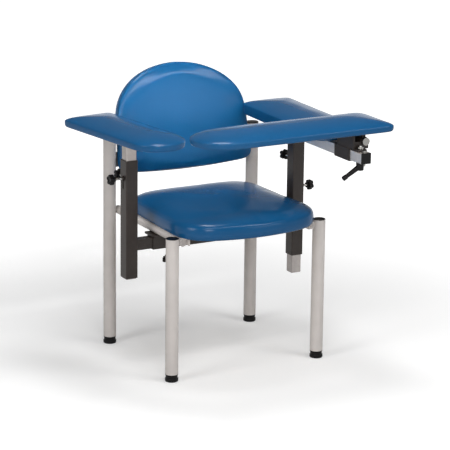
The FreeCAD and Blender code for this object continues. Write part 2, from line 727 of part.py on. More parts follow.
def pad_ring(length, half, tip, draw, z):
    """Plan outline of a pad lying along +X, square end at X 0 and round end at X length."""
    rear = draw * PAD_REAR_DRAW_SHARE
    front = length - draw * PAD_TIP_DRAW_SHARE
    side = half - draw
    r = min(PAD_CORNER, side / 2)
    turn = math.sqrt(0.5)
    start = length - tip
    run = front - start
    right = [
        V(rear, side - r, z),
        V(rear + r * (1 - turn), side - r * (1 - turn), z),
        V(rear + r, side, z),
    ]
    nose = [V(start, side, z), V(start + run * turn, side * turn, z), V(front, 0, z)]
    flip = lambda p: V(p.x, -p.y, p.z)
    edges = [
        arc(*right),
        line(right[2], nose[0]),
        arc(*nose),
        arc(*[flip(p) for p in reversed(nose)]),
        line(flip(nose[0]), flip(right[2])),
        arc(*[flip(p) for p in reversed(right)]),
        line(flip(right[0]), right[0]),
    ]
    return Part.Wire(edges)


def pad_slab(length, half, tip, inset, z, thickness):
    """A slab of a pad's plan outline, all of it inset."""
    ring = pad_ring(length - 2 * inset, half - inset, tip - inset, 0, z)
    slab = Part.Face(ring).extrude(V(0, 0, thickness))
    slab.translate(V(inset, 0, 0))
    return slab


def pad_pieces(length, half, tip, wall, height):
    """Cushion with its wall, crown and drawn-in sides, and the plywood board in it, both from Z 0 up."""
    rings = [pad_ring(length, half, tip, PAD_CREASE, 0), pad_ring(length, half, tip, 0, PAD_WALL_SHARE * wall)]
    for draw_share, height_share in PAD_CROWN_SHARES:
        z = wall + height_share * (height - wall)
        rings.append(pad_ring(length, half, tip, draw_share * half, z))
    cushion = loft(rings)
    inset = PAD_BOARD_INSET
    board = pad_slab(length, half, tip, inset, 0, PAD_BOARD_T)
    depth = CUT_OVERRUN + PAD_BOARD_T + SOFT_GAP
    pocket = pad_slab(length, half, tip, inset - SOFT_GAP, -CUT_OVERRUN, depth)
    return cushion.cut(pocket), board


def lay(shape, origin, heading):
    """Turns a pad made along +X to a heading in degrees, and puts its square end's middle at origin."""
    turned = FreeCAD.Placement(origin, FreeCAD.Rotation(Z_AXIS, heading))
    shape.Placement = turned.multiply(shape.Placement)
    return shape


def pad_screws(spots, plate_z, plate_t):
    """Screws from under a plate into the board: the screws and the holes they need."""
    screws = []
    holes = []
    for x, y in spots:
        under = plate_z - plate_t
        head = rod(SCREW_HEAD_R, V(x, y, under - SCREW_HEAD_H), Z_AXIS, SCREW_HEAD_H)
        screws.append(head.fuse(rod(SCREW_R, V(x, y, under), Z_AXIS, plate_t + SCREW_BITE)))
        length = CUT_OVERRUN + plate_t + SCREW_BITE
        holes.append(rod(SCREW_R + PIN_GAP, V(x, y, under - CUT_OVERRUN), Z_AXIS, length))
    return screws, holes


def heading_of(toe_in, side):
    """Plan heading of an arm pad, its round end to the front and turned towards the centre by toe_in."""
    return -90 - side * toe_in


def along(centre_x, heading, distance):
    angle = math.radians(heading)
    return centre_x + distance * math.cos(angle), ARM_Y + distance * math.sin(angle)


def make_left_lift():
    top = LEFT_PAD_Z - LEFT_PLATE_T
    bottom = top - INNER_POST_L
    post = square_tube(INNER_TUBE, INNER_WALL, V(LEFT_POST_X, ARM_Y, bottom), Z_AXIS, INNER_POST_L)
    pad_x = LEFT_POST_X - PAD_OUTSET
    heading = heading_of(LEFT_TOE_IN, -1)
    x, y = along(pad_x, heading, -PAD_BEHIND_POST)
    cushion, board = pad_pieces(PAD_L, PAD_HALF, PAD_TIP, PAD_WALL_H, PAD_H)
    origin = V(x, y, LEFT_PAD_Z)
    lay(cushion, origin, heading)
    lay(board, origin, heading)
    half_l = LEFT_PLATE_L / 2
    half_w = LEFT_PLATE_W / 2
    plate = block(
        LEFT_POST_X - half_w, LEFT_POST_X + half_w,
        ARM_Y - half_l, ARM_Y + half_l,
        top, LEFT_PAD_Z,
    )
    spots = [
        (LEFT_POST_X + a * (half_w - SCREW_EDGE), ARM_Y + b * (half_l - SCREW_EDGE))
        for a in (-1, 1) for b in (-1, 1)
    ]
    screws, holes = pad_screws(spots, LEFT_PAD_Z, LEFT_PLATE_T)
    parts["left_inner_post"] = post
    parts["left_pad_plate"] = plate.cut(holes)
    parts["left_pad_board"] = board.cut(holes)
    parts["left_pad_cushion"] = cushion
    parts["left_pad_screws"] = group(screws)


def make_right_lift():
    bottom = BAR_BOTTOM - INNER_POST_L
    post = square_tube(INNER_TUBE, INNER_WALL, V(RIGHT_POST_X, ARM_Y, bottom), Z_AXIS, INNER_POST_L)
    pad_x = RIGHT_POST_X + PAD_OUTSET
    heading = heading_of(RIGHT_TOE_IN, 1)
    x, y = along(pad_x, heading, -PAD_BEHIND_POST)
    cushion, board = pad_pieces(PAD_L, PAD_HALF, PAD_TIP, RIGHT_PAD_WALL_H, RIGHT_PAD_H)
    origin = V(x, y, RIGHT_PAD_Z)
    lay(cushion, origin, heading)
    lay(board, origin, heading)
    half_w = RIGHT_PLATE_W / 2
    plate = block(
        RIGHT_POST_X - half_w, RIGHT_POST_X + half_w,
        RIGHT_PLATE_FRONT_Y, RIGHT_PLATE_REAR_Y,
        BAR_TOP, RIGHT_PAD_Z,
    )
    spots = [
        (RIGHT_POST_X + side * (half_w - SCREW_EDGE), screw_y)
        for side in (-1, 1)
        for screw_y in (RIGHT_PLATE_FRONT_Y + SCREW_EDGE, RIGHT_PLATE_REAR_Y - SCREW_EDGE)
    ]
    screws, holes = pad_screws(spots, RIGHT_PAD_Z, RIGHT_PLATE_T)
    parts["right_inner_post"] = post
    parts["right_pad_plate"] = plate.cut(holes)
    parts["right_pad_board"] = board.cut(holes)
    parts["right_pad_cushion"] = cushion
    parts["right_pad_screws"] = group(screws)


def bar_slot():
    """The slot through the top and bottom of the bar in which the clamp stud travels."""
    half = CLAMP_STUD_R + SLOT_PLAY
    front = CLAMP_Y - REACH_FORWARD - half
    rear = CLAMP_Y + REACH_BACK + half
    return block(
        RIGHT_POST_X - half, RIGHT_POST_X + half,
        front, rear,
        BAR_BOTTOM - CUT_OVERRUN, BAR_TOP + CUT_OVERRUN,
    )


def make_reach_bar():
    length = REACH_REAR_Y - REACH_FRONT_Y
    bar = square_tube(INNER_TUBE, INNER_WALL, V(RIGHT_POST_X, REACH_FRONT_Y, BAR_Z), Y_AXIS, length)
    bolt_hole = rod(
        STOP_BOLT_R + PIN_GAP, V(RIGHT_POST_X, STOP_BOLT_Y, BAR_BOTTOM - CUT_OVERRUN),
        Z_AXIS, INNER_TUBE + 2 * CUT_OVERRUN,
    )
    bore = INNER_TUBE - 2 * INNER_WALL - 2 * PIN_GAP
    plugs = []
    for y, outwards in ((REACH_FRONT_Y, -Y_AXIS), (REACH_REAR_Y, Y_AXIS)):
        head = rounded_bar(INNER_TUBE, TUBE_CORNER, V(RIGHT_POST_X, y, BAR_Z), outwards, END_PLUG_HEAD)
        stem = rounded_bar(bore, TUBE_CORNER / 2, V(RIGHT_POST_X, y, BAR_Z), -outwards, END_PLUG_DEPTH)
        plugs.append(head.fuse(stem).cut(bolt_hole))
    head = rod(STOP_HEAD_R, V(RIGHT_POST_X, STOP_BOLT_Y, BAR_TOP), Z_AXIS, STOP_HEAD_H)
    shank_z = BAR_BOTTOM - STOP_TAIL
    shank = rod(STOP_BOLT_R, V(RIGHT_POST_X, STOP_BOLT_Y, shank_z), Z_AXIS, INNER_TUBE + STOP_TAIL)
    parts["reach_bar"] = bar.cut([bar_slot(), bolt_hole])
    parts["bar_end_plugs"] = group(plugs)
    parts["bar_stop_bolt"] = head.fuse(shank)


# Carriage, hinge and lever

def make_carriage():
    length = SLEEVE_REAR_Y - SLEEVE_FRONT_Y
    half = OUTER_TUBE / 2
    parts["reach_sleeve"] = square_tube(
        OUTER_TUBE, OUTER_WALL, V(RIGHT_POST_X, SLEEVE_FRONT_Y, BAR_Z), Y_AXIS, length
    )
    left = RIGHT_POST_X - half
    right = HINGE_X + HINGE_EAR_R
    t = HINGE_PLATE_T
    leaf_bottom = FLIP_Z - LEAF_T
    base = block(left, right, HINGE_FRONT_Y, HINGE_REAR_Y, SLEEVE_TOP, SLEEVE_TOP + t)
    wall = block(left, left + t, HINGE_FRONT_Y, HINGE_REAR_Y, SLEEVE_TOP, leaf_bottom - STUD_TIP_GAP)
    ears = []
    for y in (HINGE_FRONT_Y, HINGE_REAR_Y - t):
        ear = block(left, right, y, y + t, SLEEVE_TOP, HINGE_Z)
        ears.append(ear.fuse(rod(HINGE_EAR_R, V(HINGE_X, y, HINGE_Z), Y_AXIS, t)))
    tongue_z = BAR_TOP + SLIDE_GAP
    tongue = block(
        RIGHT_POST_X - TONGUE_HALF, RIGHT_POST_X + TONGUE_HALF,
        TONGUE_FRONT_Y, HINGE_FRONT_Y + t,
        tongue_z, SLEEVE_TOP + t / 2,
    )
    front_edges = [
        e for e in tongue.Edges
        if abs(e.BoundBox.YMin - TONGUE_FRONT_Y) < PIN_GAP and e.BoundBox.ZMin > tongue_z + PIN_GAP
        and e.BoundBox.YMax - e.BoundBox.YMin < PIN_GAP
    ]
    tongue = tongue.makeFillet(t / 2, front_edges)
    pin_hole = rod(
        HINGE_PIN_R + PIN_GAP, V(HINGE_X, HINGE_FRONT_Y - CUT_OVERRUN, HINGE_Z),
        Y_AXIS, HINGE_REAR_Y - HINGE_FRONT_Y + 2 * CUT_OVERRUN,
    )
    stud_hole_z = rod(
        CLAMP_STUD_R + PIN_GAP, V(RIGHT_POST_X, CLAMP_Y, BAR_TOP - CUT_OVERRUN),
        Z_AXIS, SLEEVE_TOP - BAR_TOP + 3 * CUT_OVERRUN,
    )
    nut_z = SLEEVE_TOP + t / 2
    nut_seat = rod(CLAMP_NUT_R + PIN_GAP, V(RIGHT_POST_X, CLAMP_Y, nut_z), Z_AXIS, CLAMP_NUT_T)
    saddle = base.fuse([wall, tongue] + ears).cut([pin_hole, stud_hole_z, nut_seat])
    parts["hinge_base"] = saddle.removeSplitter()
    nut = rod(CLAMP_NUT_R, V(RIGHT_POST_X, CLAMP_Y, nut_z), Z_AXIS, CLAMP_NUT_T)
    parts["clamp_nut"] = nut.cut(stud_hole_z)
    front = HINGE_FRONT_Y - WASHER_T
    rear = HINGE_REAR_Y + WASHER_T
    head = rod(HINGE_HEAD_R, V(HINGE_X, front, HINGE_Z), -Y_AXIS, HINGE_HEAD_T)
    shank = rod(HINGE_PIN_R, V(HINGE_X, front, HINGE_Z), Y_AXIS, rear + HINGE_NUT_T + STOP_BOLT_R - front)
    parts["hinge_bolt"] = head.fuse(shank)
    nut = rod(HINGE_NUT_R, V(HINGE_X, rear, HINGE_Z), Y_AXIS, HINGE_NUT_T)
    parts["hinge_nut"] = nut.cut(rod(HINGE_PIN_R + PIN_GAP, V(HINGE_X, rear, HINGE_Z), Y_AXIS, HINGE_NUT_T))
    washers = []
    for y in (front, HINGE_REAR_Y):
        ring = rod(HINGE_HEAD_R, V(HINGE_X, y, HINGE_Z), Y_AXIS, WASHER_T)
        washers.append(ring.cut(rod(HINGE_PIN_R + PIN_GAP, V(HINGE_X, y, HINGE_Z), Y_AXIS, WASHER_T)))
    parts["hinge_washers"] = group(washers)


def make_flip_pad():
    t = HINGE_PLATE_T
    y0 = HINGE_FRONT_Y + t + SLIDE_GAP
    y1 = HINGE_REAR_Y - t - SLIDE_GAP
    plate_z = FLIP_Z - LEAF_T
    barrel = rod(BARREL_R, V(HINGE_X, y0, HINGE_Z), Y_AXIS, y1 - y0)
    web = block(HINGE_X - LEAF_WEB_T / 2, HINGE_X + LEAF_WEB_T / 2, y0, y1, HINGE_Z, plate_z)
    plate = block(
        LEAF_LEFT_X, LEAF_RIGHT_X,
        HINGE_FRONT_Y - LEAF_MARGIN, HINGE_REAR_Y + LEAF_MARGIN,
        plate_z, FLIP_Z,
    )
    bore = rod(HINGE_PIN_R + PIN_GAP, V(HINGE_X, y0, HINGE_Z), Y_AXIS, y1 - y0)
    leaf = barrel.fuse([web, plate]).cut(bore).removeSplitter()
    cushion, board = pad_pieces(FLIP_L, FLIP_HALF, FLIP_TIP, FLIP_WALL_H, FLIP_H)
    origin = V(FLIP_RIGHT_X, FLIP_Y, FLIP_Z)
    lay(cushion, origin, 180)
    lay(board, origin, 180)
    spots = [
        (x, y)
        for x in (LEAF_LEFT_X + SCREW_EDGE, LEAF_LEFT_X + 3 * SCREW_EDGE)
        for y in (HINGE_FRONT_Y + SCREW_EDGE, HINGE_REAR_Y - SCREW_EDGE)
    ]
    screws, holes = pad_screws(spots, FLIP_Z, LEAF_T)
    parts["hinge_leaf"] = leaf.cut(holes)
    parts["flip_pad_board"] = board.cut(holes)
    parts["flip_pad_cushion"] = cushion
    parts["flip_pad_screws"] = group(screws)


def make_lever():
    top = BAR_BOTTOM - LEVER_GAP
    centre = V(RIGHT_POST_X, CLAMP_Y, top - LEVER_HUB_H / 2)
    hub = Part.makeCone(LEVER_HUB_TOP_R, LEVER_HUB_R, LEVER_HUB_H, V(RIGHT_POST_X, CLAMP_Y, top), -Z_AXIS)
    fall = V(-LEVER_REACH, 0, -LEVER_FALL)
    length = fall.Length
    arm = Part.makeCone(LEVER_ROOT_R, LEVER_TIP_R, length, centre, fall)
    end_start = centre + fall * (1 - LEVER_END_L / length)
    end = rod(LEVER_END_R, end_start, fall, LEVER_END_L)
    stud_bottom = top - LEVER_HUB_H * LEVER_BORE_SHARE
    foot = V(RIGHT_POST_X, CLAMP_Y, stud_bottom)
    bore = rod(CLAMP_STUD_R + PIN_GAP, foot, Z_AXIS, LEVER_HUB_H)
    parts["clamp_lever"] = hub.fuse([arm, end]).cut(bore).removeSplitter()
    stud_top = SLEEVE_TOP + HINGE_PLATE_T / 2 + CLAMP_NUT_T + STOP_BOLT_R
    parts["clamp_stud"] = rod(CLAMP_STUD_R, foot, Z_AXIS, stud_top - stud_bottom)


make_legs()
make_rails()
make_seat()
make_back()
make_receiver()
make_arm("left", LEFT_POST_X, -1, LEFT_SIDE_KNOB_Z, LEFT_SIDE_KNOB_OUT)
make_arm("right", RIGHT_POST_X, 1, RIGHT_SIDE_KNOB_Z, RIGHT_SIDE_KNOB_OUT)
make_left_lift()
make_right_lift()
make_reach_bar()
make_carriage()
make_flip_pad()
make_lever()

os.makedirs("parts", exist_ok=True)
low = V(1e9, 1e9, 1e9)
high = V(-1e9, -1e9, -1e9)
for name, shape in parts.items():
    shape.translate(V(FOOTPRINT_X, FOOTPRINT_Y, 0))
    shape.exportStep(os.path.join("parts", name + ".step"))
    box = shape.BoundBox
    low = V(min(low.x, box.XMin), min(low.y, box.YMin), min(low.z, box.ZMin))
    high = V(max(high.x, box.XMax), max(high.y, box.YMax), max(high.z, box.ZMax))
    if not shape.isValid() or shape.Volume <= 0:
        print("check", name, shape.isValid(), shape.Volume)
print(len(parts), "nodes, from", low, "to", high)
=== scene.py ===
import json
import math

import bmesh
import bpy
from mathutils import Matrix, Vector, noise
from mathutils.geometry import convex_hull_2d


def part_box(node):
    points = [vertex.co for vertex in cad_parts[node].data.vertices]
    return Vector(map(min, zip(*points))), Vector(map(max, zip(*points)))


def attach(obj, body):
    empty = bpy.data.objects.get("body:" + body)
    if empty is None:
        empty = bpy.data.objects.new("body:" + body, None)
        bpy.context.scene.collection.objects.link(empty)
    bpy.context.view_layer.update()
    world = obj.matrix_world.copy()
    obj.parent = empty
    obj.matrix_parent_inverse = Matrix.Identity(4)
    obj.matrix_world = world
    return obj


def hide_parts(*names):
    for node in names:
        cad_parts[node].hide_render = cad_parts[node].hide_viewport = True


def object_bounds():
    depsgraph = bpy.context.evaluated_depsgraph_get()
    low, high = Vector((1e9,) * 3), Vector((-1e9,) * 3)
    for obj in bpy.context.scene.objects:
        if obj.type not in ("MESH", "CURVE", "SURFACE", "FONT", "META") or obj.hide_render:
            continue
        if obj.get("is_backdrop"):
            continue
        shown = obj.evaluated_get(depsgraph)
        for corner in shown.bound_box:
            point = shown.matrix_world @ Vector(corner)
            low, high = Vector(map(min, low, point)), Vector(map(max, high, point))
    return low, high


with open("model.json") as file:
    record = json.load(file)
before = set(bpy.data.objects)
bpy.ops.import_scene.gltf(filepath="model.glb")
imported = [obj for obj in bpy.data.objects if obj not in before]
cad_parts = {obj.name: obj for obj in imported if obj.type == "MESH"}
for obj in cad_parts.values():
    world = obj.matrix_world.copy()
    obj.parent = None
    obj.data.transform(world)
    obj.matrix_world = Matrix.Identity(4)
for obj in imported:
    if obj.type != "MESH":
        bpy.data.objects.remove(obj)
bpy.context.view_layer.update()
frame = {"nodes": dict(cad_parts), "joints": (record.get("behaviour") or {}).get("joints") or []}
bpy.ops.object.select_all(action="DESELECT")


# Welded frame: legs, back posts, rails, crossbars and tabs of round and flat steel.
# Powder coating gives a warm light grey satin skin with a faint orange peel.
def linear(colour):
    """An sRGB hex colour as the linear colour that a shader socket takes."""
    channels = [int(colour[i:i + 2], 16) / 255 for i in (1, 3, 5)]
    return [c / 12.92 if c <= 0.04045 else ((c + 0.055) / 1.055) ** 2.4 for c in channels] + [1.0]


def add(tree, kind, inputs=None, **settings):
    """Adds a node: inputs are values or the output sockets that feed them, settings are its properties."""
    node = tree.nodes.new(kind)
    for name, value in settings.items():
        setattr(node, name, value)
    for socket, value in (inputs or {}).items():
        if isinstance(value, bpy.types.NodeSocket):
            tree.links.new(value, node.inputs[socket])
        else:
            node.inputs[socket].default_value = value
    return node


def per_metre(millimetres):
    """How many times a pattern of this size in millimetres repeats in a metre."""
    return 1000 / millimetres


def new_material(name, **values):
    """A material with one Principled shader: returns it, its tree, the shader and Object coordinates."""
    material = bpy.data.materials.new(name)
    material.use_nodes = True
    tree = material.node_tree
    shader = tree.nodes["Principled BSDF"]
    for socket, value in values.items():
        shader.inputs[socket.replace("_", " ")].default_value = value
    return material, tree, shader, add(tree, "ShaderNodeTexCoord").outputs["Object"]


def tint(tree, shader, factor, low, high):
    """Colours a shader between two hex colours by a factor from 0 to 1."""
    ramp = add(tree, "ShaderNodeValToRGB", {"Fac": factor})
    ramp.color_ramp.elements[0].color = linear(low)
    ramp.color_ramp.elements[1].color = linear(high)
    tree.links.new(ramp.outputs["Color"], shader.inputs["Base Color"])
    return ramp


def roughen(tree, shader, factor, low, high):
    """Spreads a shader's roughness from low to high by a factor from 0 to 1."""
    spread = add(tree, "ShaderNodeMapRange", {"Value": factor, "To Min": low, "To Max": high})
    tree.links.new(spread.outputs["Result"], shader.inputs["Roughness"])


def emboss(tree, shader, height, depth_mm, strength=1.0):
    """Bumps a shader by a height from 0 to 1 that stands depth_mm proud."""
    bump = add(tree, "ShaderNodeBump", {"Height": height, "Distance": depth_mm / 1000, "Strength": strength})
    tree.links.new(bump.outputs["Normal"], shader.inputs["Normal"])


def finish(material, *nodes):
    """Gives CAD nodes or new pieces this material alone."""
    for node in nodes:
        mesh = (frame["nodes"][node] if isinstance(node, str) else node).data
        mesh.materials.clear()
        mesh.materials.append(material)


def powder_coat(name, low, high, peel_mm, roughness, speck=0.0):
    """Baked powder coating: polyester that flowed into an orange peel, with a slow drift of tone."""
    coat, tree, shader, place = new_material(name, IOR=1.5, Specular_IOR_Level=0.3)
    peel = add(tree, "ShaderNodeTexNoise", {"Vector": place, "Scale": per_metre(peel_mm), "Detail": 2.0})
    drift = add(tree, "ShaderNodeTexNoise", {"Vector": place, "Scale": per_metre(90), "Detail": 3.0})
    grain = add(tree, "ShaderNodeTexNoise", {"Vector": place, "Scale": per_metre(1.6), "Detail": 1.0})
    blend = add(
        tree, "ShaderNodeMix", {"Factor": speck, "A": drift.outputs["Fac"], "B": grain.outputs["Fac"]}
    )
    ramp = tint(tree, shader, blend.outputs["Result"], low, high)
    ramp.color_ramp.elements[0].position = 0.35
    ramp.color_ramp.elements[1].position = 0.65
    roughen(tree, shader, drift.outputs["Fac"], roughness - 0.05, roughness + 0.05)
    emboss(tree, shader, peel.outputs["Fac"], 0.06)
    return coat


MERGE_GAP = 0.00001
BREAK_ANGLE = math.radians(40)


def break_edges(width_mm, *nodes):
    """Gives CAD nodes edges as real metal has, a little rounded, by live modifiers."""
    for node in nodes:
        piece = frame["nodes"][node]
        weld = piece.modifiers.new("Merge", "WELD")
        weld.merge_threshold = MERGE_GAP
        round_off = piece.modifiers.new("Edges", "BEVEL")
        round_off.width = width_mm / 1000
        round_off.segments = 2
        round_off.limit_method = "ANGLE"
        round_off.angle_limit = BREAK_ANGLE


grey_coat = powder_coat("powder_coated_steel_warm_grey", "#C1BBB7", "#CAC4C0", 1.8, 0.38)
WELDED = (
    "front_leg_left", "front_leg_right", "back_post_left", "back_post_right",
    "side_rail_left", "side_rail_right", "front_crossbar", "rear_crossbar",
    "seat_tabs", "back_brackets",
)
finish(grey_coat, *WELDED)
break_edges(0.5, "seat_tabs", "back_brackets")

# Feet, leg plugs, rail caps and post caps: pushed into the open tube ends.
# Injection-moulded polyethylene, nearly black, and as grey as the rails in the rail caps.
SPARK_MM = 0.9
SPARK_DEPTH_MM = 0.05


def moulded_plastic(name, low, high, smooth, rough, **values):
    """Injection-moulded polyethylene with the spark texture of its mould."""
    plastic, tree, shader, place = new_material(name, IOR=1.5, **values)
    spark = add(tree, "ShaderNodeTexNoise", {"Vector": place, "Scale": per_metre(SPARK_MM), "Detail": 3.0})
    tint(tree, shader, spark.outputs["Fac"], low, high)
    roughen(tree, shader, spark.outputs["Fac"], smooth, rough)
    emboss(tree, shader, spark.outputs["Fac"], SPARK_DEPTH_MM)
    return plastic


black_plastic = moulded_plastic(
    "moulded_black_polyethylene", "#050405", "#0D0C0D", 0.34, 0.46, Specular_IOR_Level=0.2
)
grey_plastic = moulded_plastic("moulded_grey_polyethylene", "#A7A19D", "#B8B2AE", 0.36, 0.5)
finish(black_plastic, "floor_glides", "post_caps", "bar_end_plugs")
break_edges(0.8, "floor_glides", "post_caps", "bar_end_plugs")


def pick(piece, kind, test):
    """Selects the vertices, edges or faces of a piece in edit mode that pass a test."""
    bpy.ops.mesh.select_mode(type=kind)
    bpy.ops.mesh.select_all(action="DESELECT")
    shape = bmesh.from_edit_mesh(piece.data)
    for item in {"VERT": shape.verts, "EDGE": shape.edges, "FACE": shape.faces}[kind]:
        if test(item):
            item.select_set(True)
    bmesh.update_edit_mesh(piece.data)


def copy_to(name, piece, place):
    """A copy of a modelled piece with its own mesh, moved by a matrix."""
    mesh = piece.data.copy()
    mesh.transform(place)
    copy = bpy.data.objects.new(name, mesh)
    bpy.context.scene.collection.objects.link(copy)
    return copy


def copies_at(name, model, places):
    """One piece of copies of a model, each moved by a matrix; the model itself goes."""
    copies = [copy_to(name, model, place) for place in places]
    bpy.data.objects.remove(model)
    bpy.ops.object.select_all(action="DESELECT")
    for piece in copies:
        piece.select_set(True)
    bpy.context.view_layer.objects.active = copies[0]
    bpy.ops.object.join()
    bpy.ops.object.select_all(action="DESELECT")
    return copies[0]


def widen(share):
    """Scales the selection about the Z axis."""
    bpy.ops.transform.resize(value=(share, share, 1), center_override=(0, 0, 0))


def extrude_up(height):
    """Extrudes the selected faces along Z."""
    bpy.ops.mesh.extrude_region_move(TRANSFORM_OT_translate={"value": (0, 0, height)})


def inset_and_raise(inset, height):
    """Insets the selected faces and moves them along Z."""
    bpy.ops.mesh.inset(thickness=inset)
    bpy.ops.transform.translate(value=(0, 0, height))


LEVEL = 0.9
SHARP = math.radians(50)
SHADE_SHARP = math.radians(35)
STEM_L = 0.008
DISH_TAPER = 0.93
DIMPLE_SHARE = 0.5
DIMPLE_DROP = 0.4
PLUG_ROUNDING = 0.3


def plug(radius, stem, flange, dish):
    """A plug with a dished flange that lies on a tube's rim; its rim is at z = 0 and it looks up."""
    bpy.ops.mesh.primitive_cylinder_add(vertices=48, radius=stem, depth=STEM_L, location=(0, 0, -STEM_L / 2))
    piece = bpy.context.object
    bpy.ops.object.mode_set(mode="EDIT")
    pick(piece, "FACE", lambda face: face.normal.z > LEVEL)
    bpy.ops.mesh.extrude_region_move()
    widen(radius / stem)
    extrude_up(flange)
    bpy.ops.mesh.inset(thickness=radius - dish)
    extrude_up(-flange)
    widen(DISH_TAPER)
    inset_and_raise(dish * DIMPLE_SHARE, -flange * DIMPLE_DROP)
    pick(piece, "EDGE", lambda edge: edge.is_manifold and edge.calc_face_angle() > SHARP)
    bpy.ops.mesh.bevel(offset=flange * PLUG_ROUNDING, segments=2)
    bpy.ops.object.mode_set(mode="OBJECT")
    bpy.ops.object.transform_apply(location=True)
    bpy.ops.object.shade_smooth_by_angle(angle=SHADE_SHARP)
    return piece


leg_tops = []
for side in ("left", "right"):
    low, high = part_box("front_leg_" + side)
    leg_tops.append(Matrix.Translation(Vector(((low.x + high.x) / 2, (low.y + high.y) / 2, high.z))))
leg_plugs = copies_at(
    "leg_top_plugs", plug(radius=0.01875, stem=0.01685, flange=0.0014, dish=0.01605), leg_tops
)
finish(black_plastic, leg_plugs)
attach(leg_plugs, "frame")
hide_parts("tube_plugs")

rail_ends = []
for side in ("left", "right"):
    low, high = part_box("side_rail_" + side)
    for end, tilt in ((low.y, 90), (high.y, -90)):
        middle = Vector(((low.x + high.x) / 2, end, (low.z + high.z) / 2))
        rail_ends.append(Matrix.Translation(middle) @ Matrix.Rotation(math.radians(tilt), 4, "X"))
rail_caps = copies_at(
    "rail_end_caps", plug(radius=0.0125, stem=0.0106, flange=0.0012, dish=0.005715), rail_ends
)
finish(grey_plastic, rail_caps)
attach(rail_caps, "frame")

# Boards in the seat, the backrest and the pads: birch plywood that takes the screws.
# Rotary-cut face veneer shows long wavy grain and reddish brown pores.
plywood, tree, shader, place = new_material("birch_plywood_bare", IOR=1.5)
stretched = add(tree, "ShaderNodeMapping", {"Vector": place, "Scale": (1.0, 0.07, 1.0)})
grain = add(
    tree, "ShaderNodeTexNoise",
    {"Vector": stretched.outputs["Vector"], "Scale": per_metre(9), "Detail": 6.0, "Distortion": 0.6},
)
pores = add(
    tree, "ShaderNodeTexNoise",
    {"Vector": stretched.outputs["Vector"], "Scale": per_metre(0.8), "Detail": 2.0},
)
tint(tree, shader, grain.outputs["Fac"], "#A57B4C", "#D9BC8C")
roughen(tree, shader, pores.outputs["Fac"], 0.5, 0.7)
emboss(tree, shader, pores.outputs["Fac"], 0.08)
finish(
    plywood, "seat_board", "back_board", "left_pad_board", "right_pad_board", "flip_pad_board"
)

# Receiver, arm posts and carriage: square steel tube and flat plate.
# A textured dark bronze powder coat, brown-black with fine lighter flecks.
bronze_coat = powder_coat("powder_coated_steel_dark_bronze", "#282220", "#3B3430", 0.9, 0.38, 0.5)
SQUARE_STEEL = (
    "arm_receiver", "receiver_plates", "receiver_bosses", "left_outer_post", "right_outer_post",
    "left_post_bosses", "right_post_bosses", "left_arm_tube", "right_arm_tube", "reach_sleeve",
    "hinge_base", "hinge_leaf", "left_pad_plate", "right_pad_plate",
)
finish(bronze_coat, *SQUARE_STEEL)
break_edges(0.6, *SQUARE_STEEL)


# Inner posts and reach bar: bright drawn steel tube that slides in the bronze one.
# Zinc plating over the drawing lines gives a silky grain along each tube.
def drawn_tube(name, along, low, high):
    """Plated drawn steel whose fine lines run along one axis, given by its index."""
    bright, tree, shader, place = new_material(name, Metallic=1.0)
    stretch = [1.0, 1.0, 1.0]
    stretch[along] = 0.02
    lengthwise = add(tree, "ShaderNodeMapping", {"Vector": place, "Scale": stretch})
    lines = add(
        tree, "ShaderNodeTexNoise",
        {"Vector": lengthwise.outputs["Vector"], "Scale": per_metre(0.7), "Detail": 4.0},
    )
    cloud = add(tree, "ShaderNodeTexNoise", {"Vector": place, "Scale": per_metre(14), "Detail": 4.0})
    tint(tree, shader, cloud.outputs["Fac"], low, high)
    roughen(tree, shader, lines.outputs["Fac"], 0.28, 0.46)
    emboss(tree, shader, lines.outputs["Fac"], 0.02)
    return bright


# The one plated steel takes two tones: darker on the inner posts, which is painted shade, and much lighter
# on the reach bar, which is a painted sheen.
finish(
    drawn_tube("drawn_steel_upright", 2, "#98928F", "#B4AEAB"), "left_inner_post", "right_inner_post"
)
finish(drawn_tube("drawn_steel_lengthwise_painted_sheen", 1, "#DCD8D6", "#F0ECEA"), "reach_bar")
break_edges(0.6, "left_inner_post", "right_inner_post", "reach_bar")

# Bolts, screws, washers and studs: zinc-plated steel from stock.
# Clear passivation leaves it bright with a faint blue and yellow cast.
zinc, tree, shader, place = new_material("zinc_plated_steel", Metallic=1.0)
cast = add(tree, "ShaderNodeTexNoise", {"Vector": place, "Scale": per_metre(7), "Detail": 3.0})
tint(tree, shader, cast.outputs["Fac"], "#8F9195", "#ADA99F")
roughen(tree, shader, cast.outputs["Fac"], 0.18, 0.32)
FASTENERS = (
    "seat_bolts", "back_bolts", "receiver_bolts", "left_pad_screws", "right_pad_screws",
    "flip_pad_screws", "bar_stop_bolt", "hinge_bolt", "hinge_nut", "hinge_washers",
    "clamp_nut", "clamp_stud",
)
finish(zinc, *FASTENERS)
break_edges(0.35, *FASTENERS)

# Vinyl cover of the seat, the backrest and all three pads: PVC-coated cloth, royal blue.
# It is embossed with a fine leather grain, and its semi-gloss skin takes soft highlights.
vinyl, tree, shader, place = new_material(
    "upholstery_vinyl_royal_blue", IOR=1.48, Specular_IOR_Level=0.2
)
pebble = add(
    tree, "ShaderNodeTexVoronoi",
    {"Vector": place, "Scale": per_metre(1.3), "Randomness": 1.0}, feature="SMOOTH_F1",
)
crease = add(tree, "ShaderNodeTexNoise", {"Vector": place, "Scale": per_metre(0.7), "Detail": 2.0})
relief = add(
    tree, "ShaderNodeMix",
    {"Factor": 0.35, "A": pebble.outputs["Distance"], "B": crease.outputs["Fac"]},
)
drift = add(tree, "ShaderNodeTexNoise", {"Vector": place, "Scale": per_metre(120), "Detail": 2.0})
tint(tree, shader, drift.outputs["Fac"], "#0F4873", "#13507D")
roughen(tree, shader, crease.outputs["Fac"], 0.16, 0.25)
emboss(tree, shader, relief.outputs["Result"], 0.03, 0.6)


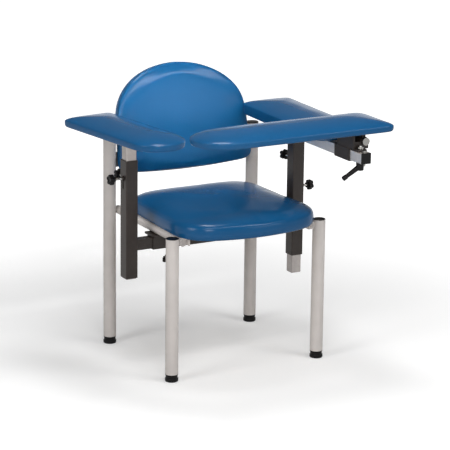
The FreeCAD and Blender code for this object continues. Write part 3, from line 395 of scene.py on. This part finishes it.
# Seat cushion: polyurethane foam on the seat board under one sheet of vinyl.
# The sheet is pulled over a crowned edge and turned under it, where a hem is stapled to the board.
def plan_outline(points, count):
    """Evenly spaced points round the convex outline of plan points (along, across), from its far middle."""
    hull = [Vector(points[i]) for i in convex_hull_2d(points)]
    area = sum(a.x * b.y - a.y * b.x for a, b in zip(hull, hull[1:] + hull[:1]))
    if area < 0:
        hull.reverse()
    crossing = next(
        i for i in range(len(hull))
        if hull[i - 1].y < 0 <= hull[i].y and max(hull[i - 1].x, hull[i].x) > 0
    )
    before, after = hull[crossing - 1], hull[crossing]
    start = before.lerp(after, -before.y / (after.y - before.y))
    corners = [p for p in hull[crossing:] + hull[:crossing] if (p - start).length > 1e-6]
    loop = [start] + corners + [start]
    runs = [(b - a).length for a, b in zip(loop, loop[1:])]
    spacing = sum(runs) / count
    outline = []
    gone = 0.0
    i = 0
    for n in range(count):
        while gone + runs[i] < n * spacing - 1e-9:
            gone += runs[i]
            i += 1
        outline.append(loop[i].lerp(loop[i + 1], (n * spacing - gone) / runs[i]))
    for _ in range(4):
        outline = [
            (outline[n - 1] + 2 * p + outline[(n + 1) % count]) / 4 for n, p in enumerate(outline)
        ]
    return outline


CROWN_TURN = math.radians(82)
CROWN_DRAWN = 0.9
CROWN_STEP = 0.06


def crown_steps(square, dome, steps=13, crease=0.0):
    """Shares (drawn in, raised) of a crown from its widest line to near its middle, square or round.
    A crease in degrees leaves out that much of its first turn, so that it meets its wall at a ridge."""
    shares = []
    first = math.radians(crease)
    base = (1 - math.cos(first) ** (2 / square), math.sin(first) ** (2 / square))
    for k in range(steps):
        turn = first + (CROWN_TURN - first) * k / (steps - 1)
        drawn, up = 1 - math.cos(turn) ** (2 / square), math.sin(turn) ** (2 / square)
        shares.append(((drawn - base[0]) / (1 - base[0]), (up - base[1]) / (1 - base[1])))
    last = shares[-1][0]
    gaps = max(2, round((CROWN_DRAWN - last) / CROWN_STEP))
    for k in range(1, gaps + 1):
        drawn = last + (CROWN_DRAWN - last) * k / gaps
        shares.append((drawn, (1 - (1 - drawn) ** square) ** (1 / square)))
    return [(drawn, (1 - dome) * up + dome * (1 - (1 - drawn) ** 2)) for drawn, up in shares]


def cover(name, outline, middle, rings, to_place):
    """A closed cover: each ring is the outline drawn in towards the middle line, at one height.
    middle is the half length of that line, and to_place turns plan and height into a place."""
    shell = bmesh.new()
    count = len(outline)
    loops = []
    for drawn, height in rings:
        loop = []
        for point in outline:
            core = Vector((max(-middle, min(middle, point.x)), 0.0))
            plan = point.lerp(core, drawn)
            loop.append(shell.verts.new(to_place(plan.x, plan.y, height)))
        loops.append(loop)
    for lower, upper in zip(loops, loops[1:]):
        for n in range(count):
            m = (n + 1) % count
            shell.faces.new((lower[n], lower[m], upper[m], upper[n]))
    for end, loop in ((-1, loops[0]), (1, loops[-1])):
        for n in range(count // 2):
            corners = [loop[n], loop[n + 1], loop[(count - n - 1) % count], loop[(count - n) % count]]
            corners = list(dict.fromkeys(corners))
            shell.faces.new(corners if end > 0 else list(reversed(corners)))
    bmesh.ops.recalc_face_normals(shell, faces=shell.faces)
    mesh = bpy.data.meshes.new(name)
    shell.to_mesh(mesh)
    shell.free()
    piece = bpy.data.objects.new(name, mesh)
    bpy.context.scene.collection.objects.link(piece)
    return piece


def shade_smooth(piece):
    """Shades every face of a piece smooth."""
    for face in piece.data.polygons:
        face.use_smooth = True


def apply(piece, kind, **settings):
    """Adds a modifier to a piece and applies it."""
    modifier = piece.modifiers.new(kind.title(), kind)
    for name, value in settings.items():
        setattr(modifier, name, value)
    bpy.context.view_layer.objects.active = piece
    bpy.ops.object.modifier_apply(modifier=modifier.name)


SWELL_FRAMES = 14
FOAM_PRESSURE = 4.0
SWELL_CAP = 0.003


def inflate(piece, held):
    """Swells a closed cover by cloth simulation: the vertices in held stay, and none moves past a cap."""
    rest = [v.co.copy() for v in piece.data.vertices]
    pins = piece.vertex_groups.new(name="held")
    pins.add(held, 1.0, "REPLACE")
    cloth = piece.modifiers.new("Cloth", "CLOTH")
    cloth.settings.quality = 4
    cloth.settings.tension_stiffness = 60
    cloth.settings.compression_stiffness = 60
    cloth.settings.shear_stiffness = 30
    cloth.settings.bending_stiffness = 12
    cloth.settings.use_pressure = True
    cloth.settings.uniform_pressure_force = FOAM_PRESSURE
    cloth.settings.effector_weights.gravity = 0
    cloth.settings.vertex_group_mass = "held"
    cloth.collision_settings.use_collision = False
    for step in range(1, SWELL_FRAMES + 1):
        bpy.context.scene.frame_set(step)
    swollen = piece.evaluated_get(bpy.context.evaluated_depsgraph_get()).data
    moved = []
    for start, vertex in zip(rest, swollen.vertices):
        step = vertex.co - start
        moved.append(start + step * min(1.0, SWELL_CAP / max(step.length, 1e-9)))
    piece.modifiers.remove(cloth)
    for vertex, place in zip(piece.data.vertices, moved):
        vertex.co = place
    bpy.context.scene.frame_set(1)
    piece.vertex_groups.remove(pins)


FOAM_LUMP = 0.0006
FOAM_LUMP_SIZE = 0.07


def upholster(name, replaced, body, outline, middle, wall, crown, to_place):
    """A padded piece: its cover, swollen above the rings of its wall, which are held, made a little
    uneven as cut foam is, and subdivided once."""
    piece = cover(name, outline, middle, wall + crown, to_place)
    held = list(range(len(wall) * len(outline)))
    free = piece.vertex_groups.new(name="free")
    free.add(list(range(len(held), len(piece.data.vertices))), 1.0, "REPLACE")
    inflate(piece, held)
    apply(piece, "SMOOTH", factor=0.5, iterations=3, vertex_group="free")
    piece.vertex_groups.clear()
    for vertex in piece.data.vertices:
        if vertex.index >= len(held):
            vertex.co += vertex.normal * FOAM_LUMP * noise.noise(vertex.co / FOAM_LUMP_SIZE)
    apply(piece, "SUBSURF", levels=1, render_levels=1)
    shade_smooth(piece)
    finish(vinyl, piece)
    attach(piece, body)
    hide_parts(replaced)


OUTLINE_POINTS = 176
MIDDLE_LINE = 0.01
VINYL_T = 0.0009
HEM = 0.026
HEM_TUCK = 0.001
HEM_TURN = 0.005


def hemmed(half, edge):
    """Wall rings of a stapled cushion: its end tucked up, the hem under the board and the turned edge.
    edge lists the upper ones as (distance in from the outline, height)."""
    under = [
        (HEM + HEM_TUCK, 0.0016), (HEM, -VINYL_T), (HEM * 0.75, -VINYL_T * 1.1),
        (edge[0][0] + HEM_TURN, -VINYL_T),
    ]
    return [(inset / half, height) for inset, height in under + edge]


def raised(steps, low, high):
    """Crown rings from its steps, between two heights."""
    return [(drawn, low + up * (high - low)) for drawn, up in steps]


def cushion_plan(node, heading):
    """A cushion's plan turned by heading: its outline about its middle, that middle, its half size."""
    spin = Matrix.Rotation(-heading, 2)
    corners = [spin @ v.co.xy for v in frame["nodes"][node].data.vertices]
    low = Vector((min(c.x for c in corners), min(c.y for c in corners)))
    high = Vector((max(c.x for c in corners), max(c.y for c in corners)))
    middle = (low + high) / 2
    return plan_outline([c - middle for c in corners], OUTLINE_POINTS), middle, (high - low) / 2


def level_place(heading, middle, bottom):
    """Places plan points of a level cushion in the chair."""
    spin = Matrix.Rotation(heading, 2)

    def to_place(along, across, height):
        flat = spin @ (Vector((along, across)) + middle)
        return (flat.x, flat.y, bottom + height)

    return to_place


SEAT_HEADING = math.radians(90)
SEAT_CROWN = 0.061
SEAT_WIDEST = 0.017
seat_outline, seat_middle, seat_half = cushion_plan("seat_cushion", SEAT_HEADING)
seat_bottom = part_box("seat_board")[0].z
seat_edge = [(0.0070, -0.0026), (0.0040, -0.0012), (0.0018, 0.0035), (0.0004, 0.0100)]
seat_crown = raised(crown_steps(square=4.0, dome=0.08), SEAT_WIDEST, SEAT_CROWN)
seat_place = level_place(SEAT_HEADING, seat_middle, seat_bottom)
upholster(
    "seat_vinyl_cushion", "seat_cushion", "frame", seat_outline, MIDDLE_LINE,
    hemmed(seat_half.y, seat_edge), seat_crown, seat_place,
)

STAPLE_CROWN = 0.0105
STAPLE_WIRE = 0.0012
STAPLE_IN = HEM * 0.7


def staples(name, body, outline, half, to_place, every):
    """A row of wire staples through a hem, one at every so many points of the outline."""
    bpy.ops.mesh.primitive_cube_add(size=1.0)
    wire = bpy.context.object
    bpy.ops.object.mode_set(mode="EDIT")
    bpy.ops.transform.resize(value=(STAPLE_CROWN, STAPLE_WIRE, STAPLE_WIRE / 2))
    bpy.ops.mesh.bevel(offset=STAPLE_WIRE / 6, segments=1)
    bpy.ops.object.mode_set(mode="OBJECT")
    count = len(outline)
    inner = 1 - STAPLE_IN / half
    places = []
    for n in range(0, count, every):
        here, ahead = (
            Vector(to_place(p.x * inner, p.y * inner, -VINYL_T * 1.3))
            for p in (outline[n], outline[(n + 1) % count])
        )
        along = (ahead - here).normalized()
        out = Vector((along.y, -along.x, 0))
        place = Matrix((along, out, along.cross(out))).transposed().to_4x4()
        place.translation = here
        places.append(place)
    piece = copies_at(name, wire, places)
    finish(zinc, piece)
    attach(piece, body)


staples("seat_hem_staples", "frame", seat_outline, seat_half.y, seat_place, every=4)

# Backrest cushion: foam on a bent plywood shell, wrapped in vinyl front and rear.
# It leans back and is hollow towards the sitter, with a soft roll all round its edge.
BACK_LEAN = math.radians(12.4)
BACK_SAG = 0.031
BACK_THICK = 0.045
BACK_ROLL_FROM = 0.012
BACK_PANEL = -0.0012
back_axes = Matrix((
    (0, math.sin(BACK_LEAN), math.cos(BACK_LEAN)),
    (1, 0, 0),
    (0, -math.cos(BACK_LEAN), math.sin(BACK_LEAN)),
))
back_corners = [back_axes @ v.co for v in frame["nodes"]["back_cushion"].data.vertices]
board_corners = [back_axes @ v.co for v in frame["nodes"]["back_board"].data.vertices]
back_middle = Vector((
    (min(c.x for c in back_corners) + max(c.x for c in back_corners)) / 2,
    (min(c.y for c in back_corners) + max(c.y for c in back_corners)) / 2,
))
back_half = (max(c.y for c in back_corners) - min(c.y for c in back_corners)) / 2
back_rear = min(c.z for c in board_corners)


def back_place(along, across, height):
    """Places plan points of the backrest: up its lean, across, and forward from its curved rear face."""
    hollow = BACK_SAG * (across / back_half) ** 2
    lean = Vector((along + back_middle.x, across + back_middle.y, back_rear + height + hollow))
    return back_axes.transposed() @ lean


back_outline = plan_outline([c.xy - back_middle for c in back_corners], OUTLINE_POINTS)
back_panel = [(drawn, BACK_PANEL) for drawn in (0.9, 0.7, 0.5, 0.3, 0.12, 0.030)]
back_wall = back_panel + [(0.018, -0.0004), (0.011, 0.0020), (0.005, 0.0070)]
back_crown = raised(crown_steps(square=4.8, dome=0.10, steps=17), BACK_ROLL_FROM, BACK_THICK)
upholster(
    "back_vinyl_cushion", "back_cushion", "frame", back_outline, MIDDLE_LINE, back_wall, back_crown,
    back_place,
)

# Welt round the rear of the backrest: cord in a sleeve of the same vinyl.
# It covers the seam where the rear sheet is tacked on over the front one.
WELT_R = 0.0024
WELT_IN = 0.016
ring = bpy.data.curves.new("welt", "CURVE")
ring.dimensions = "3D"
ring.bevel_depth = WELT_R
ring.bevel_resolution = 3
line = ring.splines.new("NURBS")
stops = [p * (1 - WELT_IN / back_half) for p in back_outline[::2]]
line.points.add(len(stops) - 1)
for point, stop in zip(line.points, stops):
    point.co = (*back_place(stop.x, stop.y, BACK_PANEL), 1.0)
line.use_cyclic_u = True
line.order_u = 3
welt_curve = bpy.data.objects.new("welt", ring)
bpy.context.scene.collection.objects.link(welt_curve)
bpy.context.view_layer.update()
welt = bpy.data.objects.new(
    "back_rear_welt",
    bpy.data.meshes.new_from_object(welt_curve.evaluated_get(bpy.context.evaluated_depsgraph_get())),
)
bpy.context.scene.collection.objects.link(welt)
bpy.data.objects.remove(welt_curve)
shade_smooth(welt)
finish(vinyl, welt)
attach(welt, "frame")

# Arm pads: a board with a thick crown of foam, square at the rear and round at the front.
# The vinyl is drawn tight over the shoulders and stapled under the board.
PAD_TUCK = [(0.0036, -0.0002), (0.0018, 0.0012), (0.0004, 0.0045), (0.0, 0.0095)]
PAD_RIDGE = 24
RIDGE_BELOW = 0.0015
PAD_NOSE = 1.5


def pad_wall(half, wall):
    """Wall rings of a pad: its hem and an upright wall up to just under its ridge."""
    return hemmed(half, PAD_TUCK + [(0.0, wall - RIDGE_BELOW)])


def pad_crown(wall, height):
    """Crown rings of a pad: low, from the ridge where its foam is cut."""
    return raised(crown_steps(square=2.4, dome=0.06, crease=PAD_RIDGE), wall, height)


def pad_middle(half):
    """Half the middle line of a pad that is longer than wide."""
    return half.x - PAD_NOSE * half.y


ARM_PADS = {
    "left": {"heading": -82.6, "wall": 0.019, "height": 0.037},
    "right": {"heading": -92.3, "wall": 0.032, "height": 0.050},
}
for side, pad in ARM_PADS.items():
    turn = math.radians(pad["heading"])
    outline, middle, half = cushion_plan(side + "_pad_cushion", turn)
    to_place = level_place(turn, middle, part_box(side + "_pad_board")[0].z)
    upholster(
        side + "_pad_vinyl_cushion", side + "_pad_cushion", side + "_lift", outline, pad_middle(half),
        pad_wall(half.y, pad["wall"]), pad_crown(pad["wall"], pad["height"]), to_place,
    )
    staples(side + "_pad_hem_staples", side + "_lift", outline, half.y, to_place, every=6)

# Blood-draw pad: the same build, longer and wider, across the sitter's lap.
# It lies on the hinge leaf at its right end and flips up about the hinge bolt.
FLIP_WALL = 0.0175
FLIP_HEIGHT = 0.0355
turn = math.radians(180)
outline, middle, half = cushion_plan("flip_pad_cushion", turn)
to_place = level_place(turn, middle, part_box("flip_pad_board")[0].z)
upholster(
    "flip_pad_vinyl_cushion", "flip_pad_cushion", "flip_pad", outline, pad_middle(half),
    pad_wall(half.y, FLIP_WALL), pad_crown(FLIP_WALL, FLIP_HEIGHT), to_place,
)
staples("flip_pad_hem_staples", "flip_pad", outline, half.y, to_place, every=6)

# Star knobs: five-lobed heads of moulded black plastic, each with a steel stud cast into its hub.
# The stud's thread runs through a weld nut towards the inner tube that it clamps.
KNOB_R = 0.01552
KNOB_T = 0.013
KNOB_LOBES = 5
KNOB_VALLEYS = ((31, 0.72), (22, 0.83), (13, 0.93))
VALLEY_STEP = 9.1
KNOB_RIM = 0.0022
KNOB_RIM_RISE = 0.0009
KNOB_CUP = 0.0045
KNOB_CUP_DROP = 0.0028
KNOB_UNDERSIDE_DROP = 0.0007
KNOB_ROUNDING = 0.0013
HUB_R = 0.0075
HUB_T = 0.006
HUB_SUNK = 0.002
STUD_R = 0.004
STUD_PITCH = 0.00125
STUD_SUNK = 0.002
THREAD_DEPTH = 0.6
THREAD_STEPS = 16


def lobe_angle(place):
    """How far round from the nearest of the lobes a point is, in degrees."""
    lobe = 360 / KNOB_LOBES
    return abs((math.degrees(math.atan2(place.y, place.x)) + lobe / 2) % lobe - lobe / 2)


bpy.ops.mesh.primitive_cylinder_add(
    vertices=40, radius=KNOB_R, depth=KNOB_T, location=(0, 0, -KNOB_T / 2)
)
head = bpy.context.object
bpy.ops.object.transform_apply(location=True)
bpy.ops.object.mode_set(mode="EDIT")
for far, share in KNOB_VALLEYS:
    pick(head, "VERT", lambda vert: far < lobe_angle(vert.co) < far + VALLEY_STEP)
    widen(share)
pick(head, "FACE", lambda face: face.normal.z > LEVEL)
inset_and_raise(KNOB_RIM, KNOB_RIM_RISE)
inset_and_raise(KNOB_CUP, -KNOB_CUP_DROP)
pick(head, "FACE", lambda face: face.normal.z < -LEVEL)
inset_and_raise(KNOB_RIM, -KNOB_UNDERSIDE_DROP)
pick(
    head, "EDGE",
    lambda edge: edge.is_manifold and edge.calc_face_angle() > SHARP
    and abs(edge.verts[0].co.z - edge.verts[1].co.z) < 0.0001,
)
bpy.ops.mesh.bevel(offset=KNOB_ROUNDING, segments=3)
bpy.ops.mesh.primitive_cylinder_add(
    vertices=24, radius=HUB_R, depth=HUB_T + HUB_SUNK,
    location=(0, 0, -KNOB_T - (HUB_T - HUB_SUNK) / 2),
)
bpy.ops.object.mode_set(mode="OBJECT")
bpy.ops.object.shade_smooth_by_angle(angle=BREAK_ANGLE)


def threaded_stud(radius, pitch, low, high):
    """A stud along Z from low to high with a helical thread, its ends closed."""
    root = radius - THREAD_DEPTH * pitch
    tooth = [(root, 0), (root, 0.15), (radius, 0.5), (radius, 0.65), (root, 1)]
    mesh = bpy.data.meshes.new("stud")
    mesh.from_pydata([(r, 0, low + z * pitch) for r, z in tooth], [(i, i + 1) for i in range(4)], [])
    piece = bpy.data.objects.new("stud", mesh)
    bpy.context.scene.collection.objects.link(piece)
    turns = max(2, int((high - low) / pitch) - 1)
    apply(
        piece, "SCREW", axis="Z", angle=math.tau, screw_offset=pitch, iterations=turns,
        steps=THREAD_STEPS, render_steps=THREAD_STEPS, use_merge_vertices=True,
        merge_threshold=0.000002,
    )
    apply(piece, "WELD", merge_threshold=0.000005)
    bpy.ops.object.select_all(action="DESELECT")
    piece.select_set(True)
    bpy.ops.object.mode_set(mode="EDIT")
    bpy.ops.mesh.select_all(action="SELECT")
    bpy.ops.mesh.fill_holes(sides=0)
    bpy.ops.mesh.select_all(action="SELECT")
    bpy.ops.mesh.normals_make_consistent(inside=False)
    bpy.ops.object.mode_set(mode="OBJECT")
    piece.select_set(False)
    return piece


for joint in frame["joints"]:
    if not joint["name"].endswith("_knob_turn"):
        continue
    node = joint["name"].removesuffix("_turn")
    foot, axle = Vector(joint["pos_m"]), Vector(joint["axis"])
    places = [v.co - foot for v in frame["nodes"][node].data.vertices]
    tip = max(places, key=lambda p: (p - axle * p.dot(axle)).length)
    along = [p.dot(axle) for p in places]
    outward = axle if tip.dot(axle) > (min(along) + max(along)) / 2 else -axle
    reach = max(p.dot(outward) for p in places)
    root = min(p.dot(outward) for p in places)
    lobe = (tip - axle * tip.dot(axle)).normalized()
    place = Matrix((lobe, outward.cross(lobe), outward)).transposed().to_4x4()
    place.translation = foot + outward * reach
    knob = copy_to(node + "_star_head", head, place)
    finish(black_plastic, knob)
    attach(knob, joint["child"])
    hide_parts(node)
    stud = threaded_stud(STUD_R, STUD_PITCH, root - reach, -KNOB_T - HUB_T + STUD_SUNK)
    stud.data.transform(place)
    stud.name = node + "_threaded_stud"
    finish(zinc, stud)
    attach(stud, joint["child"])
bpy.data.objects.remove(head)

# Clamping lever under the sleeve: a moulded black handle on a hub.
# Its edges are well rounded, as it comes out of the mould.
handle = frame["nodes"]["clamp_lever"].copy()
handle.data = frame["nodes"]["clamp_lever"].data.copy()
handle.name = "clamp_lever_handle"
for key in list(handle.keys()):
    del handle[key]
handle.parent = None
bpy.context.scene.collection.objects.link(handle)
apply(handle, "WELD", merge_threshold=MERGE_GAP)
apply(handle, "REMESH", mode="VOXEL", voxel_size=0.0007)
apply(handle, "SMOOTH", factor=0.5, iterations=6)
shade_smooth(handle)
finish(black_plastic, handle)
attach(handle, "lever")
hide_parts("clamp_lever")

# Stage: a pale floor that fades into a white background, which metal and gloss also show.
# Softboxes light it from overhead, the front, the left and low on the right. A high strip draws
# the ridges of the pads, and a gridded lamp lights the backrest alone.
WHITE = (1.0, 1.0, 1.0, 1.0)
FLOOR_MIRRORED = 0.6


def seen_white(tree, mirrored=1.0):
    """1 for camera and transmission rays and mirrored for glossy ones, which see the white studio."""
    path = add(tree, "ShaderNodeLightPath")
    gloss = add(
        tree, "ShaderNodeMath", {0: path.outputs["Is Glossy Ray"], 1: mirrored}, operation="MULTIPLY"
    )
    seen = add(
        tree, "ShaderNodeMath",
        {0: path.outputs["Is Camera Ray"], 1: gloss.outputs["Value"]}, operation="MAXIMUM",
    )
    shown = add(
        tree, "ShaderNodeMath",
        {0: seen.outputs["Value"], 1: path.outputs["Is Transmission Ray"]}, operation="MAXIMUM",
    )
    return shown.outputs["Value"]


bpy.ops.mesh.primitive_plane_add(size=30.0, location=(0, 0, -0.0005))
bpy.ops.object.transform_apply(location=True)
floor = bpy.context.object
floor.name = "studio_floor"
paper, tree, shader, place = new_material("matt_white_paper", Roughness=0.9, Specular_IOR_Level=0.1)
fibre = add(tree, "ShaderNodeTexNoise", {"Vector": place, "Scale": per_metre(3), "Detail": 4.0})
tint(tree, shader, fibre.outputs["Fac"], "#DADADA", "#DEDEDE")
away = add(tree, "ShaderNodeVectorMath", {0: place}, operation="LENGTH")
fade = add(
    tree, "ShaderNodeMapRange",
    {"Value": away.outputs["Value"], "From Min": 0.5, "From Max": 2.4, "To Min": 0.29, "To Max": 1.0},
    interpolation_type="SMOOTHSTEP",
)
shown = seen_white(tree, FLOOR_MIRRORED)
lift = add(tree, "ShaderNodeMath", {0: shown, 1: fade.outputs["Result"]}, operation="MULTIPLY")
glow = add(tree, "ShaderNodeEmission", {"Color": WHITE, "Strength": lift.outputs["Value"]})
lit = add(tree, "ShaderNodeAddShader", {0: shader.outputs["BSDF"], 1: glow.outputs["Emission"]})
tree.links.new(lit.outputs["Shader"], tree.nodes["Material Output"].inputs["Surface"])
finish(paper, floor)
floor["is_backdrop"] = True

world = bpy.data.worlds.new("studio")
bpy.context.scene.world = world
world.use_nodes = True
tree = world.node_tree
direction = add(tree, "ShaderNodeTexCoord").outputs["Generated"]
height = add(tree, "ShaderNodeSeparateXYZ", {"Vector": direction})
dome = add(
    tree, "ShaderNodeMapRange",
    {"Value": height.outputs["Z"], "From Min": 0.02, "From Max": 0.22, "To Min": 1.0, "To Max": 0.22},
    interpolation_type="SMOOTHSTEP",
)
level = add(
    tree, "ShaderNodeMapRange",
    {"Value": seen_white(tree), "To Min": 0.09, "To Max": dome.outputs["Result"]},
)
tree.links.new(level.outputs["Result"], tree.nodes["Background"].inputs["Strength"])
tree.nodes["Background"].inputs["Color"].default_value = WHITE


def softbox(name, place, aim, width, height, watts, spread=180):
    """A rectangular studio lamp at place, turned towards aim; a grid narrows its spread in degrees."""
    data = bpy.data.lights.new(name, "AREA")
    data.shape = "RECTANGLE"
    data.size = width
    data.size_y = height
    data.energy = watts
    data.spread = math.radians(spread)
    lamp = bpy.data.objects.new(name, data)
    bpy.context.scene.collection.objects.link(lamp)
    lamp.location = place
    lamp.rotation_euler = (Vector(aim) - Vector(place)).to_track_quat("-Z", "Y").to_euler()


SEAT_MIDDLE = (0.0, 0.0, 0.48)
BACK_MIDDLE = (0.03, 0.27, 0.66)
BACK_UPPER = (-0.02, 0.27, 0.76)
PAD_MIDDLE = (0.1, -0.28, 0.64)
softbox("overhead_softbox", (0.15, 0.1, 2.9), SEAT_MIDDLE, 1.0, 0.5, 29)
softbox("front_strip", (0.1, -1.5, 2.3), SEAT_MIDDLE, 3.0, 0.2, 27)
softbox("front_left_softbox", (-1.2, -2.7, 1.5), BACK_MIDDLE, 0.9, 0.9, 25)
softbox("left_softbox", (-3.2, -0.8, 1.8), SEAT_MIDDLE, 1.2, 1.6, 42)
softbox("low_right_softbox", (1.44, -2.36, 1.3), BACK_MIDDLE, 1.2, 0.9, 8)
softbox("gridded_lamp", (-0.7, -2.5, 2.1), BACK_UPPER, 0.25, 0.25, 0.62, spread=13)
softbox("high_right_strip", (1.41, -1.57, 2.75), PAD_MIDDLE, 1.2, 0.14, 11)

# Camera: stands well back at the front left, as the photograph was taken.
CAMERA_PLACE = (-3.17198, -5.73818, 2.18873)
CAMERA_TURN = (-29.147, 15.163, 0.684)
camera_data = bpy.data.cameras.new("camera")
camera_data.lens = 185.07
camera_data.sensor_width = 36.0
camera_data.clip_end = 60.0
camera = bpy.data.objects.new("camera", camera_data)
bpy.context.scene.collection.objects.link(camera)
bpy.context.scene.camera = camera
azimuth, elevation, roll = (math.radians(angle) for angle in CAMERA_TURN)
back_way = Vector((
    math.sin(azimuth) * math.cos(elevation),
    -math.cos(azimuth) * math.cos(elevation),
    math.sin(elevation),
))
right_way = Vector((math.cos(azimuth), math.sin(azimuth), 0))
up_way = back_way.cross(right_way)
turned_right = right_way * math.cos(roll) + up_way * math.sin(roll)
turned_up = up_way * math.cos(roll) - right_way * math.sin(roll)
turn = Matrix((turned_right, turned_up, back_way)).transposed()
camera.matrix_world = Matrix.Translation(CAMERA_PLACE) @ turn.to_4x4()

bpy.context.scene.view_settings.view_transform = "Standard"

low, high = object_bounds()
